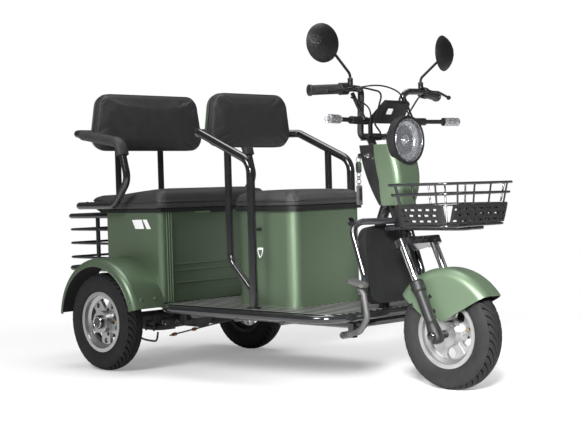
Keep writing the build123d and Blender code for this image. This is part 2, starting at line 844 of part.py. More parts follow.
# Rear axle with its motor, and leaf springs under it
beam_diameter = 44.0
case_diameter = 108.0
case_width = 120.0
motor_diameter = 104.0
motor_length = 130.0
drum_diameter = 132.0
drum_width = 22.0
axle_end_gap = 2.5
spring_x = rail_spacing / 2
spring_half_length = 205.0
spring_width = 44.0
leaf_thickness = 6.0
leaf_count = 3
leaf_step_share = 0.26
spring_rise = 30.0
spring_seat_height = 14.0
shackle_thickness = 8.0
eye_diameter = 24.0
shackle_bolt = 14.0


def make_rear_axle():
    hub_inner = track_width / 2 - hub_width / 2
    drum_end = hub_inner - rim_wall
    end = track_width / 2 + hub_width / 2 - axle_end_gap
    half = [
        rod((0, 0, axle_z), (-drum_end, 0, axle_z), beam_diameter),
        rod((-drum_end + drum_width, 0, axle_z), (-drum_end, 0, axle_z), drum_diameter),
        rod((-drum_end, 0, axle_z), (-end, 0, axle_z), axle_diameter),
        rod((0, 0, axle_z), (-case_width / 2, 0, axle_z), case_diameter),
    ]
    motor = rod((0, 0, axle_z), (0, -motor_length, axle_z), motor_diameter)
    seat_low = axle_z - beam_diameter / 2 - spring_seat_height
    seat = level_block(spring_width, spring_width, seat_low, axle_z, 0).moved(Location((-spring_x, 0, 0)))
    return joined(both_sides(joined(half + [seat])) + [motor])


def make_springs():
    seat_rise = spring_rise * (spring_width / 2 / spring_half_length) ** 2
    top = axle_z - beam_diameter / 2 - spring_seat_height - seat_gap - seat_rise
    pieces = []
    for index in range(leaf_count):
        reach = spring_half_length * (1 - leaf_step_share * index)
        rise = spring_rise * (reach / spring_half_length) ** 2
        high = top - leaf_thickness * index
        low = high - leaf_thickness
        outline = [
            ThreePointArc((-reach, high + rise), (0, high), (reach, high + rise)),
            Line((reach, high + rise), (reach, low + rise)),
            ThreePointArc((reach, low + rise), (0, low), (-reach, low + rise)),
            Line((-reach, low + rise), (-reach, high + rise)),
        ]
        plane = Plane(origin=(-spring_x, 0, 0), x_dir=(0, 1, 0), z_dir=(1, 0, 0))
        pieces.append(extrude(plane * make_face(Wire(outline)), amount=spring_width / 2, both=True))
    eye_z = top + spring_rise - leaf_thickness / 2
    for side in (-1, 1):
        y = side * spring_half_length
        span = spring_width / 2 + shackle_thickness
        pieces.append(rod((-spring_x - span, y, eye_z), (-spring_x + span, y, eye_z), eye_diameter))
        bolt_ends = [(-spring_x + end * span, y, rear_rail_z) for end in (-1, 1)]
        pieces.append(rod(*bolt_ends, shackle_bolt))
        for edge in (-1, 1):
            plate_x = -spring_x + edge * (spring_width + shackle_thickness) / 2
            plate = level_block(shackle_thickness, eye_diameter, eye_z, rear_rail_z, y)
            pieces.append(plate.moved(Location((plate_x, 0, 0))))
    spring = joined(pieces)
    rails = rod((-spring_x, -spring_half_length * 2, rear_rail_z), (-spring_x, rail_rear_y, rear_rail_z),
                rail_tube + 2 * seat_gap)
    return both_sides(spring - rails)


nodes["rear_axle"] = make_rear_axle()
nodes["rear_springs"] = Compound(children=make_springs())

# Leg shield: a leaning moulded panel with edges folded back
shield_low_z = 281.0
shield_high_z = 540.0
shield_low_y = -1138.0
shield_high_y = -1094.0
shield_low_half = 140.0
shield_high_half = 118.0
shield_depth = 34.0
shield_wall = 4.0
shield_corner = 52.0
leg_guard_x = 152.0
leg_guard_tube = 22.0
leg_guard_knee_z = 375.0
leg_guard_knee_y = -1121.0
leg_guard_top_z = 556.0
leg_guard_top_y = -1060.0
leg_guard_turn_x = 96.0
leg_guard_turn_y = -1112.0
leg_guard_bend = 40.0


def make_shield():
    lean = Vector(0, shield_high_y - shield_low_y, shield_high_z - shield_low_z)
    normal = Vector(1, 0, 0).cross(lean)
    plane = Plane(origin=(0, shield_low_y, shield_low_z), x_dir=(1, 0, 0), z_dir=normal)

    def outline(inset):
        low, high = shield_low_half - inset, shield_high_half - inset
        rise = lean.length - inset
        shape = Polyline((-low, inset), (low, inset), (high, rise), (-high, rise), close=True)
        return plane * fillet(make_face(shape).vertices(), shield_corner - inset)

    outer = extrude(outline(0), amount=-shield_depth)
    inner = extrude(outline(shield_wall), amount=-shield_depth - cut_overrun)
    skin = extrude(outline(0), amount=-shield_wall)
    return (outer - inner) + skin - tube(spine_points, down_tube + 2 * seat_gap, 2 * down_tube)


def make_leg_guards():
    x = -leg_guard_x
    top_y = axis_y(leg_guard_top_z)
    near = (head_tube_diameter + leg_guard_tube) / 2
    loop = tube(
        [
            (x, deck_front_y + deck_edge_tube / 2, deck_top + seat_gap),
            (x, leg_guard_knee_y, leg_guard_knee_z),
            (x, leg_guard_top_y, leg_guard_top_z),
            (-leg_guard_turn_x, leg_guard_turn_y, leg_guard_top_z),
            (-near, top_y, leg_guard_top_z),
        ],
        leg_guard_tube,
        leg_guard_bend,
    )
    return both_sides(loop)


nodes["leg_shield"] = make_shield()
nodes["leg_guards"] = Compound(children=make_leg_guards())

# Steering column cowl, its rear cover and the headlamp that nests in it
# Columns: height, front Y, seam Y, rear Y, half width
cowl_low_z = 608.0
cowl_middle_z = 690.0
cowl_high_z = 815.0
cowl_sections = (
    (cowl_low_z, -1194.0, -1114.0, -1084.0, 47.0),
    (cowl_middle_z, -1205.0, -1120.0, -1052.0, 64.0),
    (cowl_high_z, -1172.0, -1094.0, -1010.0, 58.0),
)
cowl_corner = 26.0
cover_inset = 4.0
cowl_tab = 12.0
lamp_centre_z = 826.0
lamp_stand_out = 31.0
lamp_face_y = cowl_sections[-1][1] - lamp_stand_out
lamp_radius = 82.0
lamp_depth_total = 62.0
lamp_back_radius = 46.0
lamp_band = 28.0
lamp_wall = 4.0
lens_radius = 68.0
lens_thickness = 6.0
lens_dome = 5.0


def cowl_body(inset, corner, low, high):
    """Loft through the cowl's level sections, drawn in by an inset."""
    faces = []
    for z, front, seam, rear, half_width in cowl_sections:
        level = z + (low if z == cowl_low_z else 0) - (high if z == cowl_high_z else 0)
        centre = Plane(origin=(0, (front + rear) / 2, level))
        size = (2 * (half_width - inset), rear - front - 2 * inset)
        faces.append(centre * RectangleRounded(*size, corner - inset))
    return loft(faces)


def cowl_split(shift):
    """The half space in front of the seam between cowl and cover."""
    points = [(seam + shift, z) for z, front, seam, rear, half_width in cowl_sections]
    low, middle, high = points
    reach = lamp_radius * 3
    profile = [
        (low[0] - reach, low[1] - reach), (low[0], low[1] - reach), low, middle, high,
        (high[0], high[1] + reach), (low[0] - reach, high[1] + reach),
    ]
    return side_solid(profile, reach)


def lamp_profile(growth):
    back_y = lamp_face_y + lamp_depth_total
    return [
        (0, lamp_face_y - growth),
        (lamp_radius + growth, lamp_face_y - growth),
        (lamp_radius + growth, lamp_face_y + lamp_band),
        (lamp_back_radius + growth, back_y + growth),
        (0, back_y + growth),
    ]


def turned_lamp(points):
    """Revolves a profile of radius and Y about the lamp's level axis."""
    plane = Plane(origin=(0, 0, lamp_centre_z), x_dir=(1, 0, 0), z_dir=(0, 0, 1))
    face = make_face(plane * Polyline(*points, close=True))
    return revolve(face, axis=Axis((0, 0, lamp_centre_z), (0, 1, 0)))


def make_cowl():
    shell = cowl_body(0, cowl_corner, 0, 0) - cowl_body(panel_wall, cowl_corner, -cut_overrun, panel_wall)
    stem_room = along_steering(Cylinder(stem_diameter / 2 + cut_overrun, 3 * crown_height))
    shell = shell - turned_lamp(lamp_profile(seat_gap)) - stem_room
    return shell & cowl_split(0)


def make_cover():
    outer = cowl_body(cover_inset, cowl_corner, 0, 0)
    inner = cowl_body(cover_inset + panel_wall, cowl_corner, -cut_overrun, panel_wall)
    stem_room = along_steering(Cylinder(stem_diameter / 2 + cut_overrun, 3 * crown_height))
    spine_room = rod(spine_points[1], spine_points[2], down_tube + 2 * cut_overrun)
    return outer - inner - stem_room - spine_room - cowl_split(seat_gap)


def make_lamp_shell():
    face = lens_radius + seat_gap
    cup_y = lamp_face_y + lamp_band
    cavity = [
        (0, lamp_face_y - cut_overrun),
        (face, lamp_face_y - cut_overrun),
        (face, lamp_face_y + lens_thickness),
        (lamp_back_radius, cup_y + lamp_wall),
        (0, cup_y + lamp_wall),
    ]
    return turned_lamp(lamp_profile(0)) - turned_lamp(cavity)


def make_lens():
    dome = lamp_face_y - lens_dome
    back = lamp_face_y + lens_thickness - seat_gap
    plane = Plane(origin=(0, 0, lamp_centre_z), x_dir=(1, 0, 0), z_dir=(0, 0, 1))
    bulge = ThreePointArc(
        (-lens_radius, lamp_face_y), (0, dome), (lens_radius, lamp_face_y)
    )
    face = make_face(Wire([bulge, Line((lens_radius, lamp_face_y), (lens_radius, back)),
                           Line((lens_radius, back), (-lens_radius, back)),
                           Line((-lens_radius, back), (-lens_radius, lamp_face_y))]))
    half = face & (Pos(lens_radius, (dome + back) / 2) * Rectangle(2 * lens_radius, 2 * lens_radius))
    return revolve(plane * half, axis=Axis((0, 0, lamp_centre_z), (0, 1, 0)))


def cowl_tabs():
    """Round tabs on both sides of the head tube that carry the cover."""
    z, front, seam, rear, half_width = cowl_sections[1]
    reach = half_width - cover_inset - panel_wall - 3 * seat_gap
    tab_z = z + cowl_tab / 2
    tab = rod((-reach, axis_y(tab_z), tab_z), (reach, axis_y(tab_z), tab_z), cowl_tab)
    return tab - along_steering(Cylinder(head_tube_diameter / 2 - panel_wall, 2 * head_tube_high))


nodes["neck_frame"] = make_neck()
nodes["cowl"] = make_cowl()
nodes["cowl_cover"] = make_cover()
nodes["headlamp_shell"] = make_lamp_shell()
nodes["headlamp_lens"] = make_lens()

# Front basket on its carrier
basket_top_z = 676.0
basket_low_z = 541.0
basket_rear_y = -1245.0
basket_front_y = -1502.0
basket_top_half = 185.0
basket_low_half = 157.0
basket_low_inset = 20.0
basket_wire = 8.0
basket_thin_wire = 5.0
basket_upright = 6.2
basket_corner = 42.0
basket_panel_top_share = 0.5
basket_rail_share = 0.76
panel_thickness = 2.5
panel_corner = 20.0
slot_length = 26.0
slot_height = 7.0
slot_rows = 3
slot_columns = 5
slot_margin_share = 0.14
basket_hoop_x = 44.0
basket_floor_count = 5
carrier_tube = 12.0
carrier_half_width = 62.0
carrier_front_y = -1466.0
carrier_plate_length = 62.0
carrier_bend = 34.0

basket_length = basket_rear_y - basket_front_y
basket_middle_y = (basket_rear_y + basket_front_y) / 2
basket_height = basket_top_z - basket_low_z


def basket_half(share):
    """Half width and half length of the basket at a share of its height."""
    half_width = basket_low_half + (basket_top_half - basket_low_half) * share
    half_length = basket_length / 2 - basket_low_inset * (1 - share)
    return half_width, half_length


def basket_ring(share, wire):
    half_width, half_length = basket_half(share)
    z = basket_low_z + basket_height * share
    return hoop(2 * half_width, 2 * half_length, basket_corner, wire, basket_middle_y, z)


def wall_wire(side_x, side_y, low_share, high_share, wire):
    """A bar up the wall; the sides are shares of half width and half length."""
    ends = []
    for share in (low_share, high_share):
        half_width, half_length = basket_half(share)
        z = basket_low_z + basket_height * share
        ends.append((side_x * half_width, basket_middle_y + side_y * half_length, z))
    return rod(ends[0], ends[1], wire)


def make_basket_frame():
    pieces = [
        basket_ring(1.0, basket_wire),
        basket_ring(basket_rail_share, basket_thin_wire),
        basket_ring(basket_panel_top_share, basket_thin_wire),
        basket_ring(0.0, basket_wire),
    ]
    corner_shares = ((1.0, 0.62), (1.0, -0.62), (0.72, 1.0), (0.72, -1.0))
    for x_share, y_share in corner_shares:
        for side in (-1, 1):
            pieces.append(wall_wire(side * x_share, y_share, 0.0, 1.0, basket_upright))
    hoop_share = basket_hoop_x / basket_top_half
    for side in (-1, 1):
        for end in (-1.0, 1.0):
            pieces.append(wall_wire(side * hoop_share, end, 0.0, 1.0, basket_upright))
    half_width, half_length = basket_half(0.0)
    for index in range(basket_floor_count):
        share = 2 * (index + 1) / (basket_floor_count + 1) - 1
        x = half_width * share
        start = (x, basket_middle_y - half_length, basket_low_z)
        end = (x, basket_middle_y + half_length, basket_low_z)
        pieces.append(rod(start, end, basket_thin_wire))
    return joined(pieces)


def perforated_panel(low_point, high_point, along, length):
    """Sheet with rows of slots that leans from one point to another."""
    rise = high_point - low_point
    plane = Plane(origin=(low_point + high_point) / 2, x_dir=along, z_dir=along.cross(rise))
    face = RectangleRounded(length, rise.length, panel_corner)
    row_pitch = rise.length / slot_rows
    column_pitch = length * (1 - slot_margin_share) / slot_columns
    for row in range(slot_rows):
        shift = column_pitch / 4 if row % 2 else -column_pitch / 4
        for column in range(slot_columns):
            x = (column - (slot_columns - 1) / 2) * column_pitch + shift / 2
            y = (row - (slot_rows - 1) / 2) * row_pitch
            face -= Pos(x, y) * SlotOverall(slot_length, slot_height)
    return extrude(plane * face, amount=panel_thickness / 2, both=True)


def make_basket_panels():
    """Perforated sheets inside the lower half of the side walls and the front wall."""
    low_share = basket_wire / basket_height
    high_share = basket_panel_top_share - basket_thin_wire / basket_height
    low_half, low_length = basket_half(low_share)
    high_half, high_length = basket_half(high_share)
    low_z = basket_low_z + basket_height * low_share
    high_z = basket_low_z + basket_height * high_share
    inset = (basket_upright + panel_thickness) / 2 + seat_gap
    side = perforated_panel(
        Vector(-low_half + inset, basket_middle_y, low_z),
        Vector(-high_half + inset, basket_middle_y, high_z),
        Vector(0, 1, 0),
        2 * low_length - basket_corner,
    )
    front = perforated_panel(
        Vector(0, basket_middle_y - low_length + inset, low_z),
        Vector(0, basket_middle_y - high_length + inset, high_z),
        Vector(1, 0, 0),
        2 * (low_half - basket_corner),
    )
    return both_sides(side) + [front]


def make_carrier():
    z = basket_low_z - basket_wire / 2 - seat_gap - carrier_tube / 2
    rear_y = axis_y(z) - carrier_plate_length / 4
    x = -carrier_half_width
    run = [(x, rear_y, z), (x, carrier_front_y, z), (0, carrier_front_y, z)]
    half = tube(run, carrier_tube, carrier_bend)
    plate = level_block(
        2 * carrier_half_width, carrier_plate_length, z - carrier_tube / 2, z + carrier_tube / 2, axis_y(z)
    )
    head_room = along_steering(Cylinder(head_tube_diameter / 2 + seat_gap, crown_height))
    return joined(both_sides(half) + [plate]) - head_room


nodes["basket_frame"] = make_basket_frame()
nodes["basket_panels"] = Compound(children=make_basket_panels())
nodes["basket_carrier"] = make_carrier()

# Telescopic fork with its yoke, stem and axle
leg_spacing = 166.0
leg_top = -15.0
yoke_thickness = 26.0
yoke_boss = 52.0
stanchion_diameter = 27.0
slider_diameter = 37.0
collar_diameter = 46.0
collar_height = 26.0
slider_top = -168.0
slider_foot = 16.0
stem_top = 384.0
clamp_width = 56.0
clamp_length = 44.0
clamp_height = 24.0
spacer_diameter = 26.0
nut_diameter = 26.0
nut_length = 12.0
fender_boss_diameter = 16.0
fender_boss_places = (-232.0, -290.0)

leg_x = leg_spacing / 2
axle_place = -crown_height


def column(x, low, high, diameter):
    """A round bar parallel to the steering axis on the fork's centre line."""
    bar = extrude(Circle(diameter / 2), amount=high - low)
    return bar.moved(Location((x, -fork_offset if x else 0, low)))


def make_yoke():
    reach = yoke_boss / 2
    outline = Polyline(
        (-leg_x, -fork_offset - reach), (leg_x, -fork_offset - reach), (leg_x, -fork_offset + reach / 2),
        (0, reach), (-leg_x, -fork_offset + reach / 2), close=True,
    )
    face = make_face(outline) + Pos(0, 0) * Circle(reach)
    for x in (-leg_x, leg_x):
        face += Pos(x, -fork_offset) * Circle(reach)
    low = leg_top - yoke_thickness
    plate = extrude(Pos(0, 0, low) * face, amount=yoke_thickness)
    for x in (-leg_x, leg_x):
        plate -= column(x, low - cut_overrun, leg_top + cut_overrun, stanchion_diameter + 2 * seat_gap)
    return along_steering(joined([plate, column(0, leg_top - cut_overrun, stem_top, stem_diameter)]))


def make_stanchions():
    bars = [column(x, slider_top + seat_gap, leg_top, stanchion_diameter) for x in (-leg_x, leg_x)]
    return [along_steering(bar) for bar in bars]


def make_sliders():
    low = axle_place - slider_foot
    pieces = []
    for x in (-leg_x, leg_x):
        pieces.append(column(x, low, slider_top, slider_diameter))
        pieces.append(column(x, slider_top - collar_height, slider_top, collar_diameter))
    legs = [along_steering(piece) for piece in pieces]
    y, z = front_axle_y, axle_z
    reach = leg_x + slider_diameter / 2 + nut_length
    start = rim_width / 2 + (hub_width - rim_width) / 2 + seat_gap
    legs.append(rod((-reach, y, z), (reach, y, z), axle_diameter))
    for side in (-1, 1):
        legs.append(rod((side * start, y, z), (side * leg_x, y, z), spacer_diameter))
        legs.append(rod((side * leg_x, y, z), (side * reach, y, z), nut_diameter))
        for place in fender_boss_places:
            boss = extrude(Circle(fender_boss_diameter / 2), amount=leg_x - fender_half_width - seat_gap)
            boss = boss.rotate(Axis.Y, 90 * side)
            boss = boss.moved(Location((side * (fender_half_width + seat_gap), -fork_offset, place)))
            legs.append(along_steering(boss))
    return joined(legs)


# Front fender: a rounded channel over the tyre with deep side plates
fender_half_width = 58.0
front_fender_radius = 217.0
front_fender_wall = 2.5
front_fender_corner = 34.0
front_fender_inner = 40.0
front_tip_angle = 37.0
front_rear_angle = 178.0
# Lower edge of the side plates as shares of the fender radius, forward and up from the axle
front_skirt_shares = (
    (0.80, 0.60),
    (0.02, 0.19),
    (-0.10, 0.27),
    (-0.36, 0.07),
    (-0.80, 0.04),
)


def channel(half, top, corner):
    """Area in X and radius below a rounded channel top."""
    outline = Polyline(
        (-half, front_fender_inner), (-half, top), (half, top), (half, front_fender_inner), close=True
    )
    face = make_face(outline)
    return fillet(face.vertices().sort_by(Axis.Y)[-2:], corner)


def make_front_fender():
    half = fender_half_width
    wall = front_fender_wall
    top = front_fender_radius
    corner = front_fender_corner
    face = channel(half, top, corner) - channel(half - wall, top - wall, corner - wall)
    plane = Plane(origin=(0, front_axle_y, axle_z), x_dir=(1, 0, 0), z_dir=(0, -1, 0))
    axis = Axis((0, front_axle_y, axle_z), (1, 0, 0))
    arch = revolve(plane * face, axis=axis, revolution_arc=front_rear_angle - front_tip_angle)
    arch = arch.rotate(axis, front_tip_angle - 90)
    reach = 2 * top
    skirt = [(front_axle_y - top * forward, axle_z + top * up) for forward, up in front_skirt_shares]
    keep = skirt + [
        (front_axle_y + reach, skirt[-1][1]), (front_axle_y + reach, axle_z + reach),
        (front_axle_y - reach, axle_z + reach), (front_axle_y - reach, skirt[0][1]),
    ]
    return arch & side_solid(keep, reach)


nodes["fork_yoke"] = make_yoke()
nodes["fork_stanchions"] = Compound(children=make_stanchions())
nodes["fork_sliders"] = make_sliders()
nodes["front_fender"] = make_front_fender()

# Handlebar: rises from the clamp, turns out and sweeps back to the grips
bar_diameter = 22.0
bar_clamp_half = 76.0
bar_clamp_y = -1032.0
bar_clamp_z = 844.0
bar_knee_y = -1052.0
bar_shoulder_x = 114.0
bar_shoulder_y = -1094.0
bar_shoulder_z = 1000.0
bar_turn_x = 172.0
bar_turn_y = -1114.0
bar_end_x = 330.0
bar_end_y = -1063.0
bar_end_z = 992.0
bar_bend = 30.0
grip_diameter = 33.0
grip_start_share = 0.30
switch_share = 0.16
switch_end_share = 0.29
switch_diameter = 40.0
lever_thickness = 9.0
lever_forward = 46.0
lever_root_x = 178.0
lever_end_x = 318.0
lever_drop = 16.0
lever_ball = 16.0


def bar_points(side):
    return [
        (0, bar_clamp_y, bar_clamp_z),
        (side * bar_clamp_half, bar_knee_y, bar_clamp_z),
        (side * bar_shoulder_x, bar_shoulder_y, bar_shoulder_z),
        (side * bar_turn_x, bar_turn_y, bar_shoulder_z),
        (side * bar_end_x, bar_end_y, bar_end_z),
    ]


def grip_point(share):
    """A point on the right-hand grip run at a share of its length."""
    start = Vector(*bar_points(-1)[-2])
    end = Vector(*bar_points(-1)[-1])
    return start + (end - start) * share


def sleeve(start_share, end_share, diameter):
    """A hollow sleeve round the right-hand grip run."""
    start, end = grip_point(start_share), grip_point(end_share)
    outer = rod(start, end, diameter)
    return outer - rod(start, end, bar_diameter + 2 * seat_gap)


def make_handlebar():
    half = tube(bar_points(-1), bar_diameter, bar_bend)
    clamp = level_block(
        clamp_width, clamp_length, bar_clamp_z - clamp_height / 2, bar_clamp_z + clamp_height / 2, bar_clamp_y
    )
    stem_room = along_steering(column(0, leg_top, stem_top + cut_overrun, stem_diameter + 2 * seat_gap))
    return joined(both_sides(half) + [clamp]) - stem_room


def make_controls():
    """Switch housings with brake levers."""
    housing = sleeve(switch_share, switch_end_share, switch_diameter)
    root = grip_point(switch_share + (grip_start_share - switch_share) / 2)
    root = root + Vector(0, -switch_diameter / 2 + lever_thickness / 2, 0)
    turn = Vector(root.X, root.Y - lever_forward, root.Z)
    end = Vector(-lever_end_x, grip_point(1.0).Y - lever_forward - switch_diameter / 2, root.Z - lever_drop)
    lever = tube([root, turn, end], lever_thickness, lever_ball)
    ball = Sphere(lever_ball / 2).moved(Location(end))
    return both_sides(joined([housing, lever, ball]))


# Brake cables: out of the housings, down beside the instruments and into the clamp
cable_diameter = 6.0
cable_share = 0.18
cable_bend = 36.0
cable_gap_share = 1.06
cable_out = 46.0
cable_crest_x = 100.0
cable_crest_y = -1176.0
cable_crest_z = 985.0
cable_side_x = 74.0
cable_side_y = -1114.0
cable_side_z = 885.0
cable_foot_x = 14.0
cable_foot_y = -1100.0


def make_cables():
    root = grip_point(cable_share)
    start_y = root.Y - switch_diameter / 2 * cable_gap_share - seat_gap
    clamp_y = bar_clamp_y - clamp_length / 2 - seat_gap
    route = [
        (root.X, start_y, root.Z),
        (root.X, start_y - cable_out, root.Z),
        (-cable_crest_x, cable_crest_y, cable_crest_z),
        (-cable_side_x, cable_side_y, cable_side_z),
        (-cable_foot_x, cable_foot_y, bar_clamp_z),
        (-cable_foot_x, clamp_y, bar_clamp_z),
    ]
    return both_sides(tube(route, cable_diameter, cable_bend))


nodes["cables"] = Compound(children=make_cables())
nodes["handlebar"] = make_handlebar()
nodes["grips"] = Compound(children=both_sides(sleeve(grip_start_share, 1.0, grip_diameter)))
nodes["hand_controls"] = Compound(children=make_controls())

# Mirrors on stems from the switch housings
mirror_x = 315.0
mirror_y = -1126.0
mirror_z = 1142.0
mirror_radius = 64.0
mirror_depth = 30.0
mirror_turn = 12.0
mirror_stem = 9.0
mirror_foot_gap = 0.8
mirror_stem_rise = 36.0
mirror_bend = 22.0


def make_mirror():
    foot = grip_point(switch_share / 2)
    base = (foot.X, foot.Y, foot.Z + bar_diameter / 2 + mirror_foot_gap)
    knee = (foot.X, foot.Y, foot.Z + bar_diameter / 2 + mirror_stem_rise)
    profile = [
        Line((0, 0), (mirror_radius, 0)),
        ThreePointArc(
            (mirror_radius, 0), (mirror_radius * 0.66, -mirror_depth * 0.72), (0, -mirror_depth)
        ),
        Line((0, -mirror_depth), (0, 0)),
    ]
    plane = Plane(origin=(0, 0, 0), x_dir=(1, 0, 0), z_dir=(0, 0, 1))
    bowl = revolve(plane * make_face(Wire(profile)), axis=Axis((0, 0, 0), (0, 1, 0)))
    bowl = bowl.rotate(Axis.Z, -mirror_turn)
    bowl = bowl.moved(Location((-mirror_x, mirror_y + mirror_depth / 2, mirror_z)))
    stem = tube([base, knee, (-mirror_x, mirror_y, mirror_z)], mirror_stem, mirror_bend)
    collar = rod(base, (base[0], base[1], base[2] + mirror_bend), mirror_stem * 2)
    return joined([bowl, stem, collar])


nodes["mirrors"] = Compound(children=both_sides(make_mirror()))

# Turn signals on long stalks
signal_root_x = 88.0
signal_root_y = -1092.0
signal_z = 895.0
signal_end_x = 340.0
signal_end_y = -1150.0
signal_base = 26.0
signal_tilt_gap = 2.2
signal_neck = 15.0
signal_lens = 29.0
signal_neck_share = 0.42
signal_lens_share = 0.74


def make_signal():
    start = Vector(-signal_root_x, signal_root_y, signal_z)
    end = Vector(-signal_end_x, signal_end_y, signal_z)

    def at(share):
        return start + (end - start) * share

    return joined([
        rod(at(0), at(signal_neck_share), signal_base),
        rod(at(signal_neck_share), at(signal_lens_share), signal_neck),
        rod(at(signal_lens_share), at(1), signal_lens),
    ])


nodes["turn_signals"] = Compound(children=both_sides(make_signal()))

# Wedge-shaped instrument housing on the handlebar clamp
dash_half_width = 62.0
dash_rear_y = -1078.0
dash_rear_low_z = 892.0
dash_rear_high_z = 904.0
dash_low_front_y = -1122.0
dash_low_front_z = 886.0
dash_front_y = -1160.0
dash_front_low_z = 950.0
dash_top_y = -1152.0
dash_top_z = 962.0
dash_corner = 8.0
dash_stay = 16.0


def make_dash():
    profile = [
        (dash_rear_y, dash_rear_high_z),
        (dash_rear_y, dash_rear_low_z),
        (dash_low_front_y, dash_low_front_z),
        (dash_front_y, dash_front_low_z),
        (dash_top_y, dash_top_z),
    ]
    body = side_solid(profile, dash_half_width)
    stay_z = dash_rear_low_z + dash_stay / 2
    stay_foot = (0, bar_clamp_y, bar_clamp_z + clamp_height / 2 + seat_gap)
    stay_run = [stay_foot, (0, bar_clamp_y, stay_z), (0, dash_rear_y - dash_stay, stay_z)]
    stay = tube(stay_run, dash_stay, dash_stay)
    reach = signal_root_x - signal_tilt_gap
    bar = rod((-reach, signal_root_y, signal_z), (reach, signal_root_y, signal_z), dash_stay)
    return joined([body, stay, bar])


nodes["dash"] = make_dash()

nodes["brake_pedal"] = make_pedal()

# The origin moves to the middle of the overall box
whole = Compound(children=list(nodes.values())).bounding_box()
middle_y = (whole.min.Y + whole.max.Y) / 2

os.makedirs("parts", exist_ok=True)
for name, part in nodes.items():
    solids = [solid.moved(Location((0, -middle_y, 0))) for solid in part.solids()]
    export_step(Compound(children=solids), "parts/" + name + ".step")
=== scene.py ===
# %% [markdown]
# # An electric tricycle, dressed for its picture
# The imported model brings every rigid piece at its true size. This lesson gives those pieces
# their finishes and adds what the solids leave plain: padded seats, tyre tread, the lamp's
# inside, fasteners and trim. Lengths are written in millimetres times `mm`, in the model's own frame:
# the rider faces -Y, the rider's left is +X and the floor is at zero.

# %% Load the model
import math

import bmesh
import bpy
from mathutils import Matrix, Vector
from mathutils.bvhtree import BVHTree


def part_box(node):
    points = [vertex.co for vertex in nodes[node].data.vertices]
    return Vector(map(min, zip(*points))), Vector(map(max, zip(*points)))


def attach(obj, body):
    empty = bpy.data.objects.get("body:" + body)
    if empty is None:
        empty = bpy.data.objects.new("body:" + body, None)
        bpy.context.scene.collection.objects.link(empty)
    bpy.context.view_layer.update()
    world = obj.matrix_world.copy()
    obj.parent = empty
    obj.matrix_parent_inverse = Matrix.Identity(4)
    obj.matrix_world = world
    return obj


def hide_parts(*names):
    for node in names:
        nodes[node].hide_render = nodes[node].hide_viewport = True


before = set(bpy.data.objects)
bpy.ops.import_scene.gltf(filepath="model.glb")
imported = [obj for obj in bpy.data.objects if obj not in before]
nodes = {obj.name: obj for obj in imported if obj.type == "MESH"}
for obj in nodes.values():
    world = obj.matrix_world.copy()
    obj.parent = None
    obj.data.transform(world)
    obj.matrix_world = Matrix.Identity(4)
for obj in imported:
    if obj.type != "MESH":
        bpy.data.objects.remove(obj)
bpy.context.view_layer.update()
mm = 0.001

# %% [markdown]
# ## The camera
# The picture was taken from the right-hand front with a long lens, almost level and with a
# slight roll. A camera looks along its own -Z, so its matrix is written from three directions:
# right, up and back. Building them from the angles keeps the lens centred, with no shift.

# %% Camera
view_azimuth = math.radians(-45.3)
view_elevation = math.radians(1.4)
view_roll = math.radians(-1.6)
view_target = Vector((0, -57.3 * mm, 566.8 * mm))
view_distance = 4709.2 * mm
view_lens = 79.4


def make_camera():
    back = Vector((
        math.sin(view_azimuth) * math.cos(view_elevation),
        -math.cos(view_azimuth) * math.cos(view_elevation),
        math.sin(view_elevation),
    ))
    level = Vector((math.cos(view_azimuth), math.sin(view_azimuth), 0))
    above = back.cross(level)
    right = level * math.cos(view_roll) + above * math.sin(view_roll)
    up = above * math.cos(view_roll) - level * math.sin(view_roll)
    data = bpy.data.cameras.new("camera")
    data.lens = view_lens
    camera = bpy.data.objects.new("camera", data)
    bpy.context.scene.collection.objects.link(camera)
    turn = Matrix((right, up, back)).transposed().to_4x4()
    camera.matrix_world = Matrix.Translation(view_target + back * view_distance) @ turn
    return camera


bpy.context.scene.camera = make_camera()
print("camera", [round(v, 3) for v in bpy.context.scene.camera.location])

# %% [markdown]
# ## Shader maths in plain Python
# A material is a small program on its surface. `Wire` wraps one socket, so that `1 - mask * 2`
# adds the Math nodes it needs. `Workbench.node` makes every other node: its kind, its
# settings, then the values or wires of its sockets.

# %% A socket that does sums


class Wire:
    """One output of a shader node. Python's operators on it add Math nodes."""

    def __init__(self, finish, socket):
        self.finish = finish
        self.socket = socket

    def sum(self, operation, *values):
        return self.finish.node("ShaderNodeMath", {"operation": operation}, dict(enumerate(values)))

    def __add__(self, other):
        return self.sum("ADD", self, other)

    def __sub__(self, other):
        return self.sum("SUBTRACT", self, other)

    def __rsub__(self, other):
        return self.sum("SUBTRACT", other, self)

    def __mul__(self, other):
        return self.sum("MULTIPLY", self, other)

    def __truediv__(self, other):
        return self.sum("DIVIDE", self, other)

    def __pow__(self, other):
        return self.sum("POWER", self, other)

    def __abs__(self):
        return self.sum("ABSOLUTE", self)

    __radd__ = __add__
    __rmul__ = __mul__

    def wave(self):
        return self.sum("SINE", self)

    def clamped(self):
        return self.sum("MAXIMUM", self.sum("MINIMUM", self, 1.0), 0.0)


# %% One way of making nodes, and finishes made with it


class Workbench:
    """Makes, sets and links the nodes of one tree."""

    def __init__(self, tree):
        self.tree = tree

    def plug(self, node, values):
        for key, value in values.items():
            socket = node.inputs[key]
            if isinstance(value, Wire):
                self.tree.links.new(value.socket, socket)
            elif isinstance(value, tuple) and len(value) == 3 and socket.type == "RGBA":
                socket.default_value = (*value, 1.0)
            else:
                socket.default_value = value

    def node(self, kind, settings=None, values=None, output=0):
        made = self.tree.nodes.new(kind)
        for name, value in (settings or {}).items():
            setattr(made, name, value)
        self.plug(made, values or {})
        return Wire(self, made.outputs[output])


